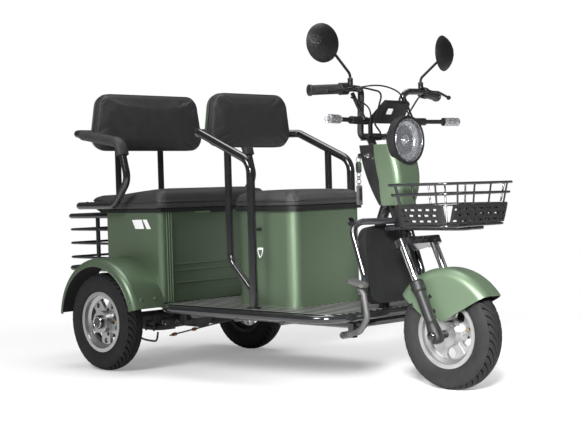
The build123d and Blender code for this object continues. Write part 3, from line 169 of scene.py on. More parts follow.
class Finish(Workbench):
    """A material under construction round one Principled shader."""

    def __init__(self, name):
        self.material = bpy.data.materials.new(name)
        self.material.use_nodes = True
        super().__init__(self.material.node_tree)
        self.tree.nodes.clear()
        self.shader = self.tree.nodes.new("ShaderNodeBsdfPrincipled")
        self.output = self.tree.nodes.new("ShaderNodeOutputMaterial")
        self.tree.links.new(self.shader.outputs[0], self.output.inputs["Surface"])

    def place(self):
        """Position on the piece in metres; it stays with the piece as it moves."""
        return self.node("ShaderNodeTexCoord", output="Object")

    def parts(self, vector):
        """X, Y and Z of a vector as three wires."""
        made = self.node("ShaderNodeSeparateXYZ", values={0: vector})
        sockets = made.socket.node.outputs
        return [Wire(self, socket) for socket in sockets]

    def noise(self, scale, detail=3.0, rough=0.5, where=None):
        where = where or self.place()
        values = {"Vector": where, "Scale": scale, "Detail": detail, "Roughness": rough}
        return self.node("ShaderNodeTexNoise", values=values)

    def mix(self, factor, first, second):
        return self.node("ShaderNodeMix", {"data_type": "RGBA"}, {0: factor, 6: first, 7: second}, output=2)

    def bump(self, height, strength, distance, normal=None):
        values = {"Height": height, "Strength": strength, "Distance": distance}
        if normal:
            values["Normal"] = normal
        return self.node("ShaderNodeBump", values=values)

    def done(self, **values):
        names = {"base": "Base Color", "coat": "Coat Weight", "coat_roughness": "Coat Roughness",
                 "specular": "Specular IOR Level", "ior": "IOR"}
        self.plug(self.shader, {names.get(key, key.title()): value for key, value in values.items()})
        return self.material


print("shader helpers ready")

# %% [markdown]
# ## Floor and light
# The photograph stands on white paper. The floor here is a pale sheet with a little glow near
# the vehicle and full glow far off, seen by camera rays only, so that the soft shadow stays
# and the picture's edges are white. The world is white to the camera and dim in reflections,
# which keeps the black pieces black. Four lamps act as softboxes.

# %% Floor and world
floor_size = 30.0
floor_shade = (0.93, 0.93, 0.93)
floor_glow = 0.25
floor_near = 1.1
floor_far = 2.4
world_light = 0.32
world_mirrored = 0.12


def make_floor():
    bpy.ops.mesh.primitive_plane_add(size=floor_size, location=(0, 0, 0))
    floor = bpy.context.object
    floor.name = "studio_floor"
    finish = Finish("studio_paper")
    paper = {"Base Color": floor_shade, "Roughness": 0.9, "Specular IOR Level": 0.0}
    finish.plug(finish.shader, paper)
    glow = finish.node("ShaderNodeEmission", values={"Color": (1.0, 1.0, 1.0), "Strength": 1.0})
    x, y, z = finish.parts(finish.place())
    reach = (x * x + y * y) ** 0.5
    white = (floor_glow + (reach - floor_near) / (floor_far - floor_near) * (1.0 - floor_glow)).clamped()
    white = finish.node("ShaderNodeMath", {"operation": "MAXIMUM"}, {0: white, 1: floor_glow})
    white = white * finish.node("ShaderNodeLightPath")
    shaded = Wire(finish, finish.shader.outputs[0])
    mixed = finish.node("ShaderNodeMixShader", values={0: white, 1: shaded, 2: glow})
    finish.plug(finish.output, {"Surface": mixed})
    floor.data.materials.append(finish.material)


def make_world():
    world = bpy.data.worlds.new("studio")
    world.use_nodes = True
    bench = Workbench(world.node_tree)
    seen = bench.node("ShaderNodeLightPath", output="Is Camera Ray")
    mirrored = bench.node("ShaderNodeLightPath", output="Is Glossy Ray")
    strength = bench.node("ShaderNodeMix", values={0: seen, 2: world_light, 3: 1.0})
    strength = bench.node("ShaderNodeMix", values={0: mirrored, 2: strength, 3: world_mirrored})
    background = world.node_tree.nodes["Background"]
    bench.plug(background, {"Color": (1.0, 1.0, 1.0), "Strength": strength})
    bpy.context.scene.world = world


make_floor()
make_world()
bpy.context.scene.view_settings.view_transform = "Standard"
print("floor and world made")

# %% Softboxes
# Columns: name, place, aim, width, power, spread in degrees
softboxes = (
    ("key_box", (-3.4, -0.6, 2.8), (0, 0.2, 0.5), 1.2, 116.0, 180),
    ("fender_box", (-2.3, -2.4, 1.5), (-0.05, -0.85, 0.45), 0.7, 13.0, 32),
    ("front_box", (1.9, -3.9, 2.6), (0, -0.5, 0.6), 1.0, 2.0, 180),
    ("top_box", (0.2, 0.4, 4.0), (0, 0, 0.5), 2.4, 84.0, 180),
)


def make_softbox(name, place, aim, width, power, spread):
    data = bpy.data.lights.new(name, "AREA")
    data.shape = "SQUARE"
    data.size = width
    data.energy = power
    data.spread = math.radians(spread)
    lamp = bpy.data.objects.new(name, data)
    bpy.context.scene.collection.objects.link(lamp)
    lamp.location = place
    lamp.rotation_euler = (Vector(aim) - Vector(place)).to_track_quat("-Z", "Y").to_euler()


for softbox in softboxes:
    make_softbox(*softbox)
print("softboxes", len(softboxes))

# %% [markdown]
# ## Finishes
# Most surfaces drift between two shades and two degrees of gloss and carry a fine grain: one
# table holds them. Satin green paint with its flakes, pebbled leatherette, the grips, the
# ribbed deck with painted shade between its ribs and the moulded lenses have a pattern of
# their own, and a function each.

# %% Surfaces that drift between two shades
# Columns: name, scale and detail of the drift, dark and light shade, roughness and its spread,
# grain as scale, detail, strength and depth in millimetres, other settings of the shader
drifting = (
    # painted shade and a real undercoat: the dark inner faces of the rear rims, and the fenders' insides
    ("undercoat_and_painted_shade", (240.0, 4.0), (0.014, 0.014, 0.014), (0.03, 0.03, 0.029), 0.72, 0.0,
     (240.0, 4.0, 0.5, 0.8), {}),
    ("gloss_black", (50.0, 3.0), (0.006, 0.006, 0.007), (0.006, 0.006, 0.007), 0.08, 0.08,
     None, {"coat": 0.5, "coat_roughness": 0.04}),
    ("black_tube", (14.0, 4.0), (0.008, 0.008, 0.009), (0.016, 0.016, 0.018), 0.10, 0.10,
     (300.0, 2.0, 0.05, 0.4), {"coat": 0.6, "coat_roughness": 0.06}),
    ("piping_hide", (26.0, 2.0), (0.016, 0.016, 0.017), (0.016, 0.016, 0.017), 0.33, 0.0,
     (900.0, 2.0, 0.3, 0.3), {}),
    ("black_plastic", (22.0, 4.0), (0.005, 0.005, 0.0055), (0.013, 0.013, 0.0135), 0.44, 0.14,
     (1500.0, 2.0, 0.22, 0.3), {"specular": 0.34}),
    ("tyre_rubber", (30.0, 5.0), (0.010, 0.010, 0.010), (0.026, 0.026, 0.0265), 0.58, 0.2,
     (700.0, 3.0, 0.3, 0.4), {"specular": 0.16}),
    # painted shade: the near-black crown of the tyres between the tread bars
    ("tread_gap_painted_shade", (60.0, 4.0), (0.001, 0.001, 0.001), (0.003, 0.003, 0.003), 0.9, 0.0,
     None, {"specular": 0.05}),
    ("cast_alloy", (18.0, 2.0), (0.38, 0.38, 0.38), (0.50, 0.50, 0.495), 0.24, 0.12,
     (480.0, 4.0, 0.12, 0.4), {"metallic": 0.85}),
    ("chrome", (40.0, 3.0), (0.82, 0.82, 0.83), (0.82, 0.82, 0.83), 0.05, 0.06,
     None, {"metallic": 1.0}),
    ("grey_cast", (30.0, 2.0), (0.07, 0.07, 0.07), (0.13, 0.13, 0.127), 0.5, 0.15,
     (260.0, 4.0, 0.4, 0.5), {"metallic": 0.6}),
    ("plain_steel", (34.0, 4.0), (0.045, 0.045, 0.047), (0.12, 0.12, 0.118), 0.4, 0.2,
     (300.0, 3.0, 0.2, 0.4), {"metallic": 0.7}),
    ("clear_lens", (30.0, 2.0), (0.42, 0.44, 0.47), (0.42, 0.44, 0.47), 0.03, 0.03,
     None, {"alpha": 0.09, "ior": 1.5}),
    ("lamp_silver", (90.0, 2.0), (0.44, 0.44, 0.48), (0.56, 0.56, 0.60), 0.2, 0.14,
     None, {"metallic": 0.9}),
    ("brass", (180.0, 3.0), (0.62, 0.36, 0.12), (0.78, 0.50, 0.20), 0.26, 0.12,
     None, {"metallic": 0.95}),
    ("copper", (160.0, 3.0), (0.42, 0.17, 0.09), (0.60, 0.27, 0.15), 0.32, 0.12,
     None, {"metallic": 0.9}),
    ("white_mark", (120.0, 2.0), (0.80, 0.80, 0.80), (0.88, 0.88, 0.88), 0.42, 0.0, None, {}),
    ("mirror_glass", (60.0, 2.0), (0.85, 0.87, 0.88), (0.85, 0.87, 0.88), 0.02, 0.03,
     None, {"metallic": 1.0}),
)


def drifting_finish(name, drift, dark, light, roughness, spread, grain, settings):
    finish = Finish(name)
    shade = finish.noise(*drift)
    values = {"base": finish.mix(shade, dark, light), "roughness": roughness + shade * spread}
    if grain:
        scale, detail, strength, depth = grain
        values["normal"] = finish.bump(finish.noise(scale, detail), strength, depth * mm)
    return finish.done(**values, **settings)


finishes = {row[0]: drifting_finish(*row) for row in drifting}
print("drifting finishes", len(finishes))

# %% Green paint and leatherette


def green_paint():
    finish = Finish("green_paint")
    flakes = finish.noise(2600.0, 2.0)
    drift = finish.noise(5.0, 2.0)
    base = finish.mix(drift, (0.108, 0.158, 0.098), (0.128, 0.182, 0.116))
    base = finish.mix((flakes - 0.45) * 1.4, base, (0.19, 0.25, 0.172))
    peel = finish.bump(finish.noise(420.0, 2.0), 0.05, 0.4 * mm)
    return finish.done(base=base, metallic=0.62, roughness=0.40 + drift * 0.07, coat=0.35,
                       coat_roughness=0.2, normal=peel)


def black_hide():
    finish = Finish("black_hide")
    where = finish.place()
    pebbles = finish.node("ShaderNodeTexVoronoi", {"feature": "DISTANCE_TO_EDGE"},
                          {"Vector": where, "Scale": 620.0, "Randomness": 1.0})
    folds = finish.noise(26.0, 3.0, 0.55, where)
    base = finish.mix(folds, (0.026, 0.026, 0.027), (0.048, 0.047, 0.048))
    grain = finish.bump(pebbles.clamped(), 0.35, 0.5 * mm)
    soft = finish.bump(folds, 0.25, 2.0 * mm, grain)
    return finish.done(base=base, roughness=0.46 + folds * 0.16, specular=0.32, normal=soft)


# %% Grips and deck
grip_bar = (0.277, -0.509, 0.995)
grip_sweep = 0.32


def grip_rubber():
    """Crossing diagonals make the diamond pattern of a moulded grip."""
    finish = Finish("grip_rubber")
    x, y, z = finish.parts(finish.place())
    along = abs(x) * 520.0
    bar_x, bar_y, bar_z = grip_bar
    ahead = y - bar_y - (abs(x) - bar_x) * grip_sweep
    around = finish.node("ShaderNodeMath", {"operation": "ARCTAN2"}, {0: z - bar_z, 1: ahead}) * 9.0
    diamonds = abs((along + around).wave()) * abs((along - around).wave())
    base = finish.mix(diamonds, (0.010, 0.010, 0.011), (0.034, 0.034, 0.035))
    return finish.done(base=base, roughness=0.5, normal=finish.bump(diamonds, 0.7, 1.2 * mm))


deck_rib_pitch = 34 * mm


def deck_alloy():
    finish = Finish("deck_alloy")
    x, y, z = finish.parts(finish.place())
    streak_place = finish.node("ShaderNodeCombineXYZ", values={0: x * 900.0, 1: y * 14.0, 2: z * 900.0})
    streaks = finish.noise(1.0, 3.0, 0.6, streak_place)
    wear = finish.noise(9.0, 4.0)
    base = finish.mix(streaks, (0.34, 0.34, 0.333), (0.56, 0.56, 0.55))
    base = finish.mix((wear - 0.5) * 1.6, base, (0.16, 0.165, 0.155))
    # painted shade: near-black stripes at the rib edges, where shade falls in the gaps between the ribs
    painted_rib_shade = (x * (2 * math.pi / deck_rib_pitch) + math.pi / 2).wave()
    base = finish.mix(((painted_rib_shade + 0.15) * 5.0).clamped(), base, (0.018, 0.018, 0.018))
    return finish.done(base=base, metallic=0.75, roughness=0.34 + streaks * 0.18,
                       normal=finish.bump(streaks, 0.12, 0.4 * mm))


# %% Moulded lenses


def signal_lens():
    """Moulded cells in front of a silvered bowl."""
    finish = Finish("signal_lens")
    cells = finish.node("ShaderNodeTexVoronoi", {"feature": "F1"},
                        {"Vector": finish.place(), "Scale": 190.0, "Randomness": 0.35})
    base = finish.mix(cells * 1.6, (0.78, 0.78, 0.80), (0.16, 0.165, 0.18))
    return finish.done(base=base, metallic=0.55, roughness=0.16, coat=0.8, coat_roughness=0.03,
                       normal=finish.bump(cells, 0.9, 2.0 * mm))


def red_lens():
    finish = Finish("red_lens")
    x, y, z = finish.parts(finish.place())
    ribs = (z * 900.0).wave() * 0.5 + 0.5
    base = finish.mix(ribs, (0.30, 0.008, 0.010), (0.48, 0.02, 0.02))
    return finish.done(base=base, roughness=0.12, coat=0.6, normal=finish.bump(ribs, 0.3, 0.5 * mm))


for make in (green_paint, black_hide, grip_rubber, deck_alloy, signal_lens, red_lens):
    finishes[make.__name__] = make()
print("finishes", len(finishes))

# %% [markdown]
# ## Dressing the rigid pieces
# Most solids keep their shape and only change their finish. A node that is made of two
# substances on the real vehicle, such as a turn signal with its clear end, has the second
# finish set on the faces that pass a test on their place. The same test paints shade on the
# tyres' crown between the tread bars and on the rear rims' inner faces, and darkens the
# fenders' insides, which are partly a real undercoat and partly painted shade.

# %% Finishes of the rigid pieces
worn_by = {
    "green_paint": ("seat_box", "rear_body", "rear_fenders", "front_fender", "cowl",
                    "front_backrest_shell", "rear_backrest_shell"),
    "black_tube": ("chassis", "deck_edge", "neck_frame", "seat_guard", "rear_seat_frame", "rear_rack",
                   "leg_guards", "fork_yoke", "handlebar", "basket_frame", "basket_carrier"),
    "black_plastic": ("fork_sliders", "front_seat_base", "rear_bench_base", "leg_shield", "cowl_cover",
                      "dash", "hand_controls", "mirrors", "turn_signals", "headlamp_shell",
                      "basket_panels", "battery_pack", "cables"),
    "deck_alloy": ("deck",),
    "cast_alloy": ("front_rim", "rear_rim_right", "rear_rim_left"),
    "chrome": ("fork_stanchions",),
    "plain_steel": ("rear_axle", "rear_springs"),
    "grey_cast": ("brake_pedal",),
    "grip_rubber": ("grips",),
    "tyre_rubber": ("front_tyre", "rear_tyre_right", "rear_tyre_left"),
    "black_hide": ("front_seat_cushion", "rear_bench_cushion", "front_backrest_pad", "rear_backrest_pad",
                   "armrest_pads"),
    "clear_lens": ("headlamp_lens",),
    "red_lens": ("tail_lamps",),
}


def wear(node, finish):
    mesh = nodes[node].data
    mesh.materials.clear()
    mesh.materials.append(finishes[finish])
    mesh.polygons.foreach_set("material_index", [0] * len(mesh.polygons))


def wear_where(node, finish, test):
    """Gives the faces whose middle, in millimetres, and normal pass the test a second finish."""
    mesh = nodes[node].data
    turn = nodes[node].matrix_world
    mesh.materials.append(finishes[finish])
    index = len(mesh.materials) - 1
    count = 0
    for face in mesh.polygons:
        if test(turn @ face.center / mm, turn.to_3x3() @ face.normal):
            face.material_index = index
            count += 1
    print(node, finish, count, "faces")


for finish, dressed in worn_by.items():
    for node in dressed:
        wear(node, finish)
print("dressed", sum(len(dressed) for dressed in worn_by.values()), "pieces")

# %% Second finishes on wheels, fenders, signals and mirrors
front_axle_y = -790.0
rear_axle_y = 572.0
axle_z = 185.0
rear_wheel_x = 374.5
# Columns: tyre, rim, body, middle of the wheel in millimetres
wheels = (
    ("front_tyre", "front_rim", "front_wheel", Vector((0, front_axle_y, axle_z))),
    ("rear_tyre_right", "rear_rim_right", "rear_wheel_right", Vector((-rear_wheel_x, rear_axle_y, axle_z))),
    ("rear_tyre_left", "rear_rim_left", "rear_wheel_left", Vector((rear_wheel_x, rear_axle_y, axle_z))),
)
crown_reach = 35.0
crown_radius = 173.0
hub_cap_radius = 27.0
hub_face = 28.0
rim_inner = 8.0
signal_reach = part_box("turn_signals")[1].x / mm
signal_lens_length = 62.0
mirror_from = 280.0
mirror_facing = 0.55
# A fender's inside has normals that point this far back to the axle or to the middle plane
fender_inner = -60.0
fender_side = -20.0


def from_axle(spot, middle):
    """Distance of a place from a wheel's axle line."""
    return math.hypot(spot.y - middle.y, spot.z - middle.z)


def faces_wheel(spot, normal, axle_y):
    """True on the inner face of a fender over an axle."""
    return normal.y * (spot.y - axle_y) + normal.z * (spot.z - axle_z) < fender_inner


for tyre, rim, body, middle in wheels:
    # painted shade: the carcass's crown between the tread bars is near black, where shade falls in the gaps
    wear_where(tyre, "tread_gap_painted_shade", lambda spot, normal: from_axle(spot, middle) > crown_radius
               and abs(spot.x - middle.x) < crown_reach)
    if rim != "front_rim":
        wear_where(rim, "gloss_black", lambda spot, normal: from_axle(spot, middle) < hub_cap_radius
                   and abs(spot.x) > abs(middle.x) + hub_face)
        # painted shade: the rear rims' inner faces are darkened where they lie in shadow
        wear_where(rim, "undercoat_and_painted_shade", lambda spot, normal: abs(spot.x) < abs(middle.x) - rim_inner)
wear_where("turn_signals", "signal_lens",
           lambda spot, normal: abs(spot.x) > signal_reach - signal_lens_length)
wear_where("mirrors", "mirror_glass",
           lambda spot, normal: abs(spot.x) > mirror_from and normal.y > mirror_facing)
# the fenders' insides are darkened: partly a real undercoat, partly painted shade
wear_where("rear_fenders", "undercoat_and_painted_shade", lambda spot, normal: faces_wheel(spot, normal, rear_axle_y))
wear_where("front_fender", "undercoat_and_painted_shade", lambda spot, normal: faces_wheel(spot, normal, front_axle_y)
           or normal.x * spot.x < fender_side)
print("wheels with second finishes", len(wheels))

# %% [markdown]
# ## Making meshes
# Small pieces are meshes written point by point. One helper turns points and faces into a
# piece that rides on a body, another lofts closed rings, and a third spins a profile.

# %% Mesh helpers
cord_rounding = 3
cord_steps = 6


def piece(name, points, faces, body, finish, smooth=True):
    mesh = bpy.data.meshes.new(name)
    mesh.from_pydata([tuple(point) for point in points], [], faces)
    mesh.validate()
    made = bpy.data.objects.new(name, mesh)
    bpy.context.scene.collection.objects.link(made)
    mesh.materials.append(finishes[finish])
    tidy = bmesh.new()
    tidy.from_mesh(mesh)
    bmesh.ops.recalc_face_normals(tidy, faces=tidy.faces)
    tidy.to_mesh(mesh)
    tidy.free()
    mesh.polygons.foreach_set("use_smooth", [smooth] * len(mesh.polygons))
    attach(made, body)
    return made


def loft(rings, looped=False):
    """Points and faces of a solid through rings of equal count; looped joins the last ring to the first."""
    count = len(rings[0])
    points = [point for ring in rings for point in ring]
    faces = []
    for level in range(len(rings) if looped else len(rings) - 1):
        low, high = level * count, (level + 1) % len(rings) * count
        for index in range(count):
            after = (index + 1) % count
            faces.append((low + index, low + after, high + after, high + index))
    if not looped:
        faces.append(tuple(reversed(range(count))))
        faces.append(tuple(range((len(rings) - 1) * count, len(rings) * count)))
    return points, faces


def tube_piece(name, route, radius, body, finish, closed=False):
    """A round cord along a smooth route, as a mesh."""
    data = bpy.data.curves.new(name, "CURVE")
    data.dimensions = "3D"
    data.bevel_depth = radius
    data.bevel_resolution = cord_rounding
    data.use_fill_caps = True
    data.resolution_u = cord_steps
    spline = data.splines.new("NURBS")
    spline.points.add(len(route) - 1)
    for point, place in zip(spline.points, route):
        point.co = (*place, 1.0)
    spline.order_u = 3
    spline.use_endpoint_u = not closed
    spline.use_cyclic_u = closed
    curve = bpy.data.objects.new(name, data)
    mesh = bpy.data.meshes.new_from_object(curve)
    bpy.data.objects.remove(curve)
    mesh.name = name
    made = bpy.data.objects.new(name, mesh)
    bpy.context.scene.collection.objects.link(made)
    mesh.materials.clear()
    mesh.materials.append(finishes[finish])
    mesh.polygons.foreach_set("use_smooth", [True] * len(mesh.polygons))
    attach(made, body)
    return made


print("piece, loft and tube helpers ready")

# %% Turned shapes and bolts


def spin(profile, centre, axis, sides=32):
    """Rings of a profile of (distance along, radius) pairs about an axis."""
    along = Vector(axis).normalized()
    across = along.orthogonal().normalized()
    other = along.cross(across)
    rings = []
    for distance, radius in profile:
        middle = Vector(centre) + along * distance
        ring = []
        for index in range(sides):
            angle = 2 * math.pi * index / sides
            ring.append(middle + (across * math.cos(angle) + other * math.sin(angle)) * radius)
        rings.append(ring)
    return rings


def turned(profile, centre, axis, sides=24, looped=False):
    """A solid of revolution: profile and centre in millimetres."""
    profile = [(along * mm, radius * mm) for along, radius in profile]
    return loft(spin(profile, Vector(centre) * mm, axis, sides), looped)


def ring_of(radius, wire, centre, axis, sides=28, steps=6):
    """A ring of round wire, in millimetres."""
    section = []
    for step in range(steps):
        angle = 2 * math.pi * step / steps
        section.append((wire * math.sin(angle), radius + wire * math.cos(angle)))
    return turned(section, centre, axis, sides, True)


def bolt(spot, normal, radius, height, sides=6):
    """A washer and a head on a surface; spot in metres, sizes in millimetres."""
    place = spot / mm
    washer = turned([(-1, radius * 1.5), (0.9, radius * 1.5), (1.2, radius * 1.35)], place, normal)
    head = turned([(0.9, radius), (height * 0.8, radius), (height, radius * 0.78)], place, normal, sides)
    return [washer, head]


def metres(places):
    """Places in millimetres as vectors in metres."""
    return [Vector(place) * mm for place in places]


def join_pieces(name, made, body, finish, smooth=False):
    """Several point and face lists as one piece."""
    points, faces = [], []
    for some_points, some_faces in made:
        start = len(points)
        points += some_points
        faces += [tuple(start + index for index in face) for face in some_faces]
    return piece(name, points, faces, body, finish, smooth)


print("turned shapes ready")

# %% Outlines


def rounded_outline(corners, radius, steps=10):
    """Points round a convex polygon whose corners are rounded."""
    points = []
    count = len(corners)
    for index in range(count):
        before, here, after = (Vector(corners[(index + shift) % count]) for shift in (-1, 0, 1))
        to_before = (before - here).normalized()
        to_after = (after - here).normalized()
        half = to_before.angle(to_after) / 2
        reach = radius / math.tan(half)
        middle = here + (to_before + to_after).normalized() * (radius / math.sin(half))
        start = here + to_before * reach - middle
        turn = math.pi - 2 * half
        sign = 1 if to_before.cross(to_after) < 0 else -1
        for step in range(steps + 1):
            angle = sign * turn * step / steps
            cos, sin = math.cos(angle), math.sin(angle)
            points.append(middle + Vector((start.x * cos - start.y * sin, start.x * sin + start.y * cos)))
    return points


def plate(spot, normal, upward, width, height, thickness, corner=1.0):
    """A flat plate with round corners on a surface; spot in metres, sizes in millimetres."""
    side = Vector(upward).cross(normal).normalized()
    up = Vector(normal).cross(side).normalized()
    across, tall = width / 2, height / 2
    corners = [(-across, -tall), (across, -tall), (across, tall), (-across, tall)]
    rings = []
    for lift in (-0.5, thickness):
        outline = rounded_outline(corners, corner, 4)
        rings.append([spot + (side * p.x + up * p.y + Vector(normal) * lift) * mm for p in outline])
    return loft(rings)


def prism(corners, shift):
    """A solid between an outline and the same outline shifted, both in millimetres."""
    low = metres(corners)
    return loft([low, [point + Vector(shift) * mm for point in low]])


print("outline helpers ready")

# %% [markdown]
# ## Places on the solids
# A bolt head or a mark lies on the surface that carries it. A ray at one node gives the point
# and the direction of the surface there, so that no height has to be guessed.

# %% Rays at the solids
surfaces = {}


def touch(node, start, toward):
    """Where a ray between two places in millimetres first meets a node, in metres, and the normal."""
    if node not in surfaces:
        mesh = nodes[node].data
        turn = nodes[node].matrix_world
        points = [turn @ vertex.co for vertex in mesh.vertices]
        surfaces[node] = BVHTree.FromPolygons(points, [tuple(face.vertices) for face in mesh.polygons])
    origin = Vector(start) * mm
    spot, normal, face, reach = surfaces[node].ray_cast(origin, (Vector(toward) * mm - origin).normalized())
    if spot is None:
        raise ValueError("no surface of " + node + " seen from " + str(start))
    return spot, normal


print("rays ready")

# %% [markdown]
# ## Tyres
# The tread of a small street tyre is two rows of curved bars that lean forward to the middle,
# moulded on a smooth carcass. Each bar is lofted across the carcass from its measured radius,
# so it hugs the crown at any tyre section; the carcass between the bars is painted near black,
# as the shade in the gaps.

# %% Tread bars
tread_count = 42
tread_pitch = 2 * math.pi / tread_count
tread_lanes = (1.4, 8.0, 15.0, 21.0, 27.0, 31.5, 34.5)
tread_lift = 1.7
tread_shoulder_lift = 0.5
tread_sweep = 0.27
tread_groove = 0.036
tread_steps = 4
tread_root = 1.0
tyre_ring_radii = (172, 163, 139, 126)


def wheel_point(middle, across, angle, radius):
    """A place on a wheel: angle runs from the top to the front."""
    return (middle + Vector((across, -radius * math.sin(angle), radius * math.cos(angle)))) * mm


def tread_bars(tyre, middle):
    """All bars of one tyre, as closed solids."""
    made = []
    radii = []
    for lane in tread_lanes:
        spot, normal = touch(tyre, middle + Vector((lane, 0, 260)), middle + Vector((lane, 0, 0)))
        radii.append(spot.z / mm - middle.z)
    for side in (-1, 1):
        for index in range(tread_count):
            rings = []
            for lane, radius in zip(tread_lanes, radii):
                share = lane / tread_lanes[-1]
                start = (index + 0.5 * (side > 0)) * tread_pitch + tread_sweep * (1 - share) ** 1.5
                width = tread_pitch - tread_groove * (0.7 + 0.5 * share)
                lift = tread_shoulder_lift if lane == tread_lanes[-1] else tread_lift
                angles = [start + width * step / tread_steps for step in range(tread_steps + 1)]
                ring = [wheel_point(middle, side * lane, angle, radius + lift) for angle in angles]
                for angle in reversed(angles):
                    ring.append(wheel_point(middle, side * lane, angle, radius - tread_root))
                rings.append(ring)
            made.append(loft(rings))
    return made


def tyre_rings(tyre, middle):
    """Thin moulded lines round both side walls."""
    made = []
    for side in (-1, 1):
        for radius in tyre_ring_radii:
            high = middle + Vector((0, 0, radius))
            spot, normal = touch(tyre, high + Vector((side * 120, 0, 0)), high)
            across = side * (spot.x / mm - middle.x)
            section = [(across - 0.8, radius - 1.4), (across + 0.7, radius), (across - 0.8, radius + 1.4)]
            made.append(turned(section, middle, (side, 0, 0), 64, True))
    return made


for tyre, rim, body, middle in wheels:
    bars = join_pieces(body + "_tread", tread_bars(tyre, middle), body, "tyre_rubber")
    lines = join_pieces(body + "_side_lines", tyre_rings(tyre, middle), body, "tyre_rubber", True)
print("tread bars", 2 * tread_count * len(wheels))

# %% [markdown]
# ## Wheel fittings
# A cast wheel carries a valve through its rim well, and each rear one has bolts round its hub
# and a bright ring round the dark cap on its axle nut. The bolts could be placed by eye, but
# a ray finds the height of the hub face under each.

# %% Valves and hub bolts
hub_bolt_count = 5
hub_bolt_circle = 49.0
hub_bolt_turn = 0.27
hub_cap_ring = (21.0, 1.6)
# Columns: how far the valve stands out of the wheel's middle plane, its angle in degrees
front_valve = (12, 77)
rear_valve = (20, 84)
# Columns: distance from the axle, radius
stem_profile = ((84, 4.0), (100, 4.0), (110, 6.5))
cap_profile = ((70, 2.6), (71, 3.4), (84, 3.4), (85, 2.9))
hub_bolt_size = (4.6, 4.5)


def valve(middle, across, angle):
    """Stem and cap of a valve that points at the hub."""
    direction = wheel_point(Vector((0, 0, 0)), 0, angle, 1).normalized()
    place = middle + Vector((across, 0, 0))
    return turned(stem_profile, place, direction, 12), turned(cap_profile, place, direction, 10)


for tyre, rim, body, middle in wheels:
    sign = -1 if middle.x <= 0 else 1
    across, angle = rear_valve if middle.x else front_valve
    stem, cap = valve(middle, sign * across, math.radians(angle))
    join_pieces(body + "_valve_stem", [stem], body, "grip_rubber", True)
    join_pieces(body + "_valve_cap", [cap], body, "brass", True)
    if rim == "front_rim":
        continue
    heads = []
    for index in range(hub_bolt_count):
        angle = 2 * math.pi * (index + hub_bolt_turn) / hub_bolt_count
        place = wheel_point(middle, 0, angle, hub_bolt_circle) / mm
        spot, normal = touch(rim, place + Vector((sign * 100, 0, 0)), place)
        heads += bolt(spot, Vector((sign, 0, 0)), *hub_bolt_size)
    join_pieces(body + "_hub_bolts", heads, body, "gloss_black")
    cap_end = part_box(rim)[0].x if sign < 0 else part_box(rim)[1].x
    rim_ring = ring_of(*hub_cap_ring, (cap_end / mm, middle.y, middle.z), (1, 0, 0), 40)
    join_pieces(body + "_cap_ring", [rim_ring], body, "chrome", True)
print("wheel fittings made")

# %% [markdown]
# ## Headlamp
# Behind the clear cover lie a silvered bowl, a ring of fine radial fins round a dark floor and
# one projector lens. The cover is mostly see-through, so these are real shapes and not a
# picture of a lamp.

# %% Lamp internals
lamp_middle = Vector((0, -631, 826))
lamp_front = (0, -1, 0)
fin_count = 28
fin_thickness = 1.0
# Columns: distance from the lamp's middle, depth behind its front edge
fin_corners = ((22, 25), (45, 25), (47, 17), (22, 21))
# Columns: distance ahead of the lamp's front edge, radius
bowl_profile = ((-7.0, 67.4), (-12.0, 60.0), (-17.0, 50.5), (-27.0, 45.0), (-29.0, 46.0), (-19.0, 53.0),
                (-9.0, 67.9))
floor_profile = ((-29.0, 46.0), (-26.0, 46.0))
eye_profile = ((-26, 15), (-20, 15), (-14, 12.5), (-10.5, 8), (-9.4, 2.5))
eye_ring = (18.0, 2.0)
eye_ring_depth = 18.0
edge_ring = (70.5, 1.6)


def lamp_fins():
    made = []
    for index in range(fin_count):
        angle = 2 * math.pi * index / fin_count
        out = Vector((math.cos(angle), 0, math.sin(angle)))
        side = Vector((-math.sin(angle), 0, math.cos(angle))) * fin_thickness
        corners = []
        for along, depth in fin_corners:
            corners.append(lamp_middle + out * along - side / 2 + Vector((0, depth, 0)))
        made.append(prism(corners, side))
    return made


eye_middle = lamp_middle + Vector((0, eye_ring_depth, 0))
# Columns: name, shape, finish, smooth
lamp_pieces = (
    ("lamp_bowl", [turned(bowl_profile, lamp_middle, lamp_front, 64, True)], "lamp_silver", True),
    ("lamp_floor", [turned(floor_profile, lamp_middle, lamp_front, 48)], "gloss_black", True),
    ("lamp_fins", lamp_fins(), "plain_steel", False),
    ("lamp_eye_ring", [ring_of(*eye_ring, eye_middle, lamp_front, 40, 8)], "chrome", True),
    ("lamp_eye", [turned(eye_profile, lamp_middle, lamp_front, 32)], "chrome", True),
    ("lamp_edge", [ring_of(*edge_ring, lamp_middle, lamp_front, 64)], "lamp_silver", True),
)
for name, made, finish, smooth in lamp_pieces:
    join_pieces(name, made, "frame", finish, smooth)
print("lamp fins", fin_count)

# %% [markdown]
# ## Marks, locks and keys
# Two white slanting bars are printed on each side of the rear body, and a square label and a
# dark screen lie on the dash. The ignition lock on the cowl's cover holds a key with its fob
# and remote; the seat box has a round lock in front, a peg and a clip on its side. An image
# could carry the marks, but thin solids stay sharp from near.

# %% Printed marks
decal_bars = (
    ((518, 569), (460, 570.5), (446, 535), (499, 535)),
    ((453.5, 570.5), (429.5, 570.5), (406, 535), (431, 535)),
)
decal_plane = 281.0
decal_thickness = 0.4
upward = (0, 0, 1)


def decal(side):
    made = []
    for bar in decal_bars:
        corners = [(side * decal_plane, y, z) for y, z in bar]
        made.append(prism(corners, (side * decal_thickness, 0, 0)))
    return made


join_pieces("body_marks", decal(-1) + decal(1), "frame", "white_mark")
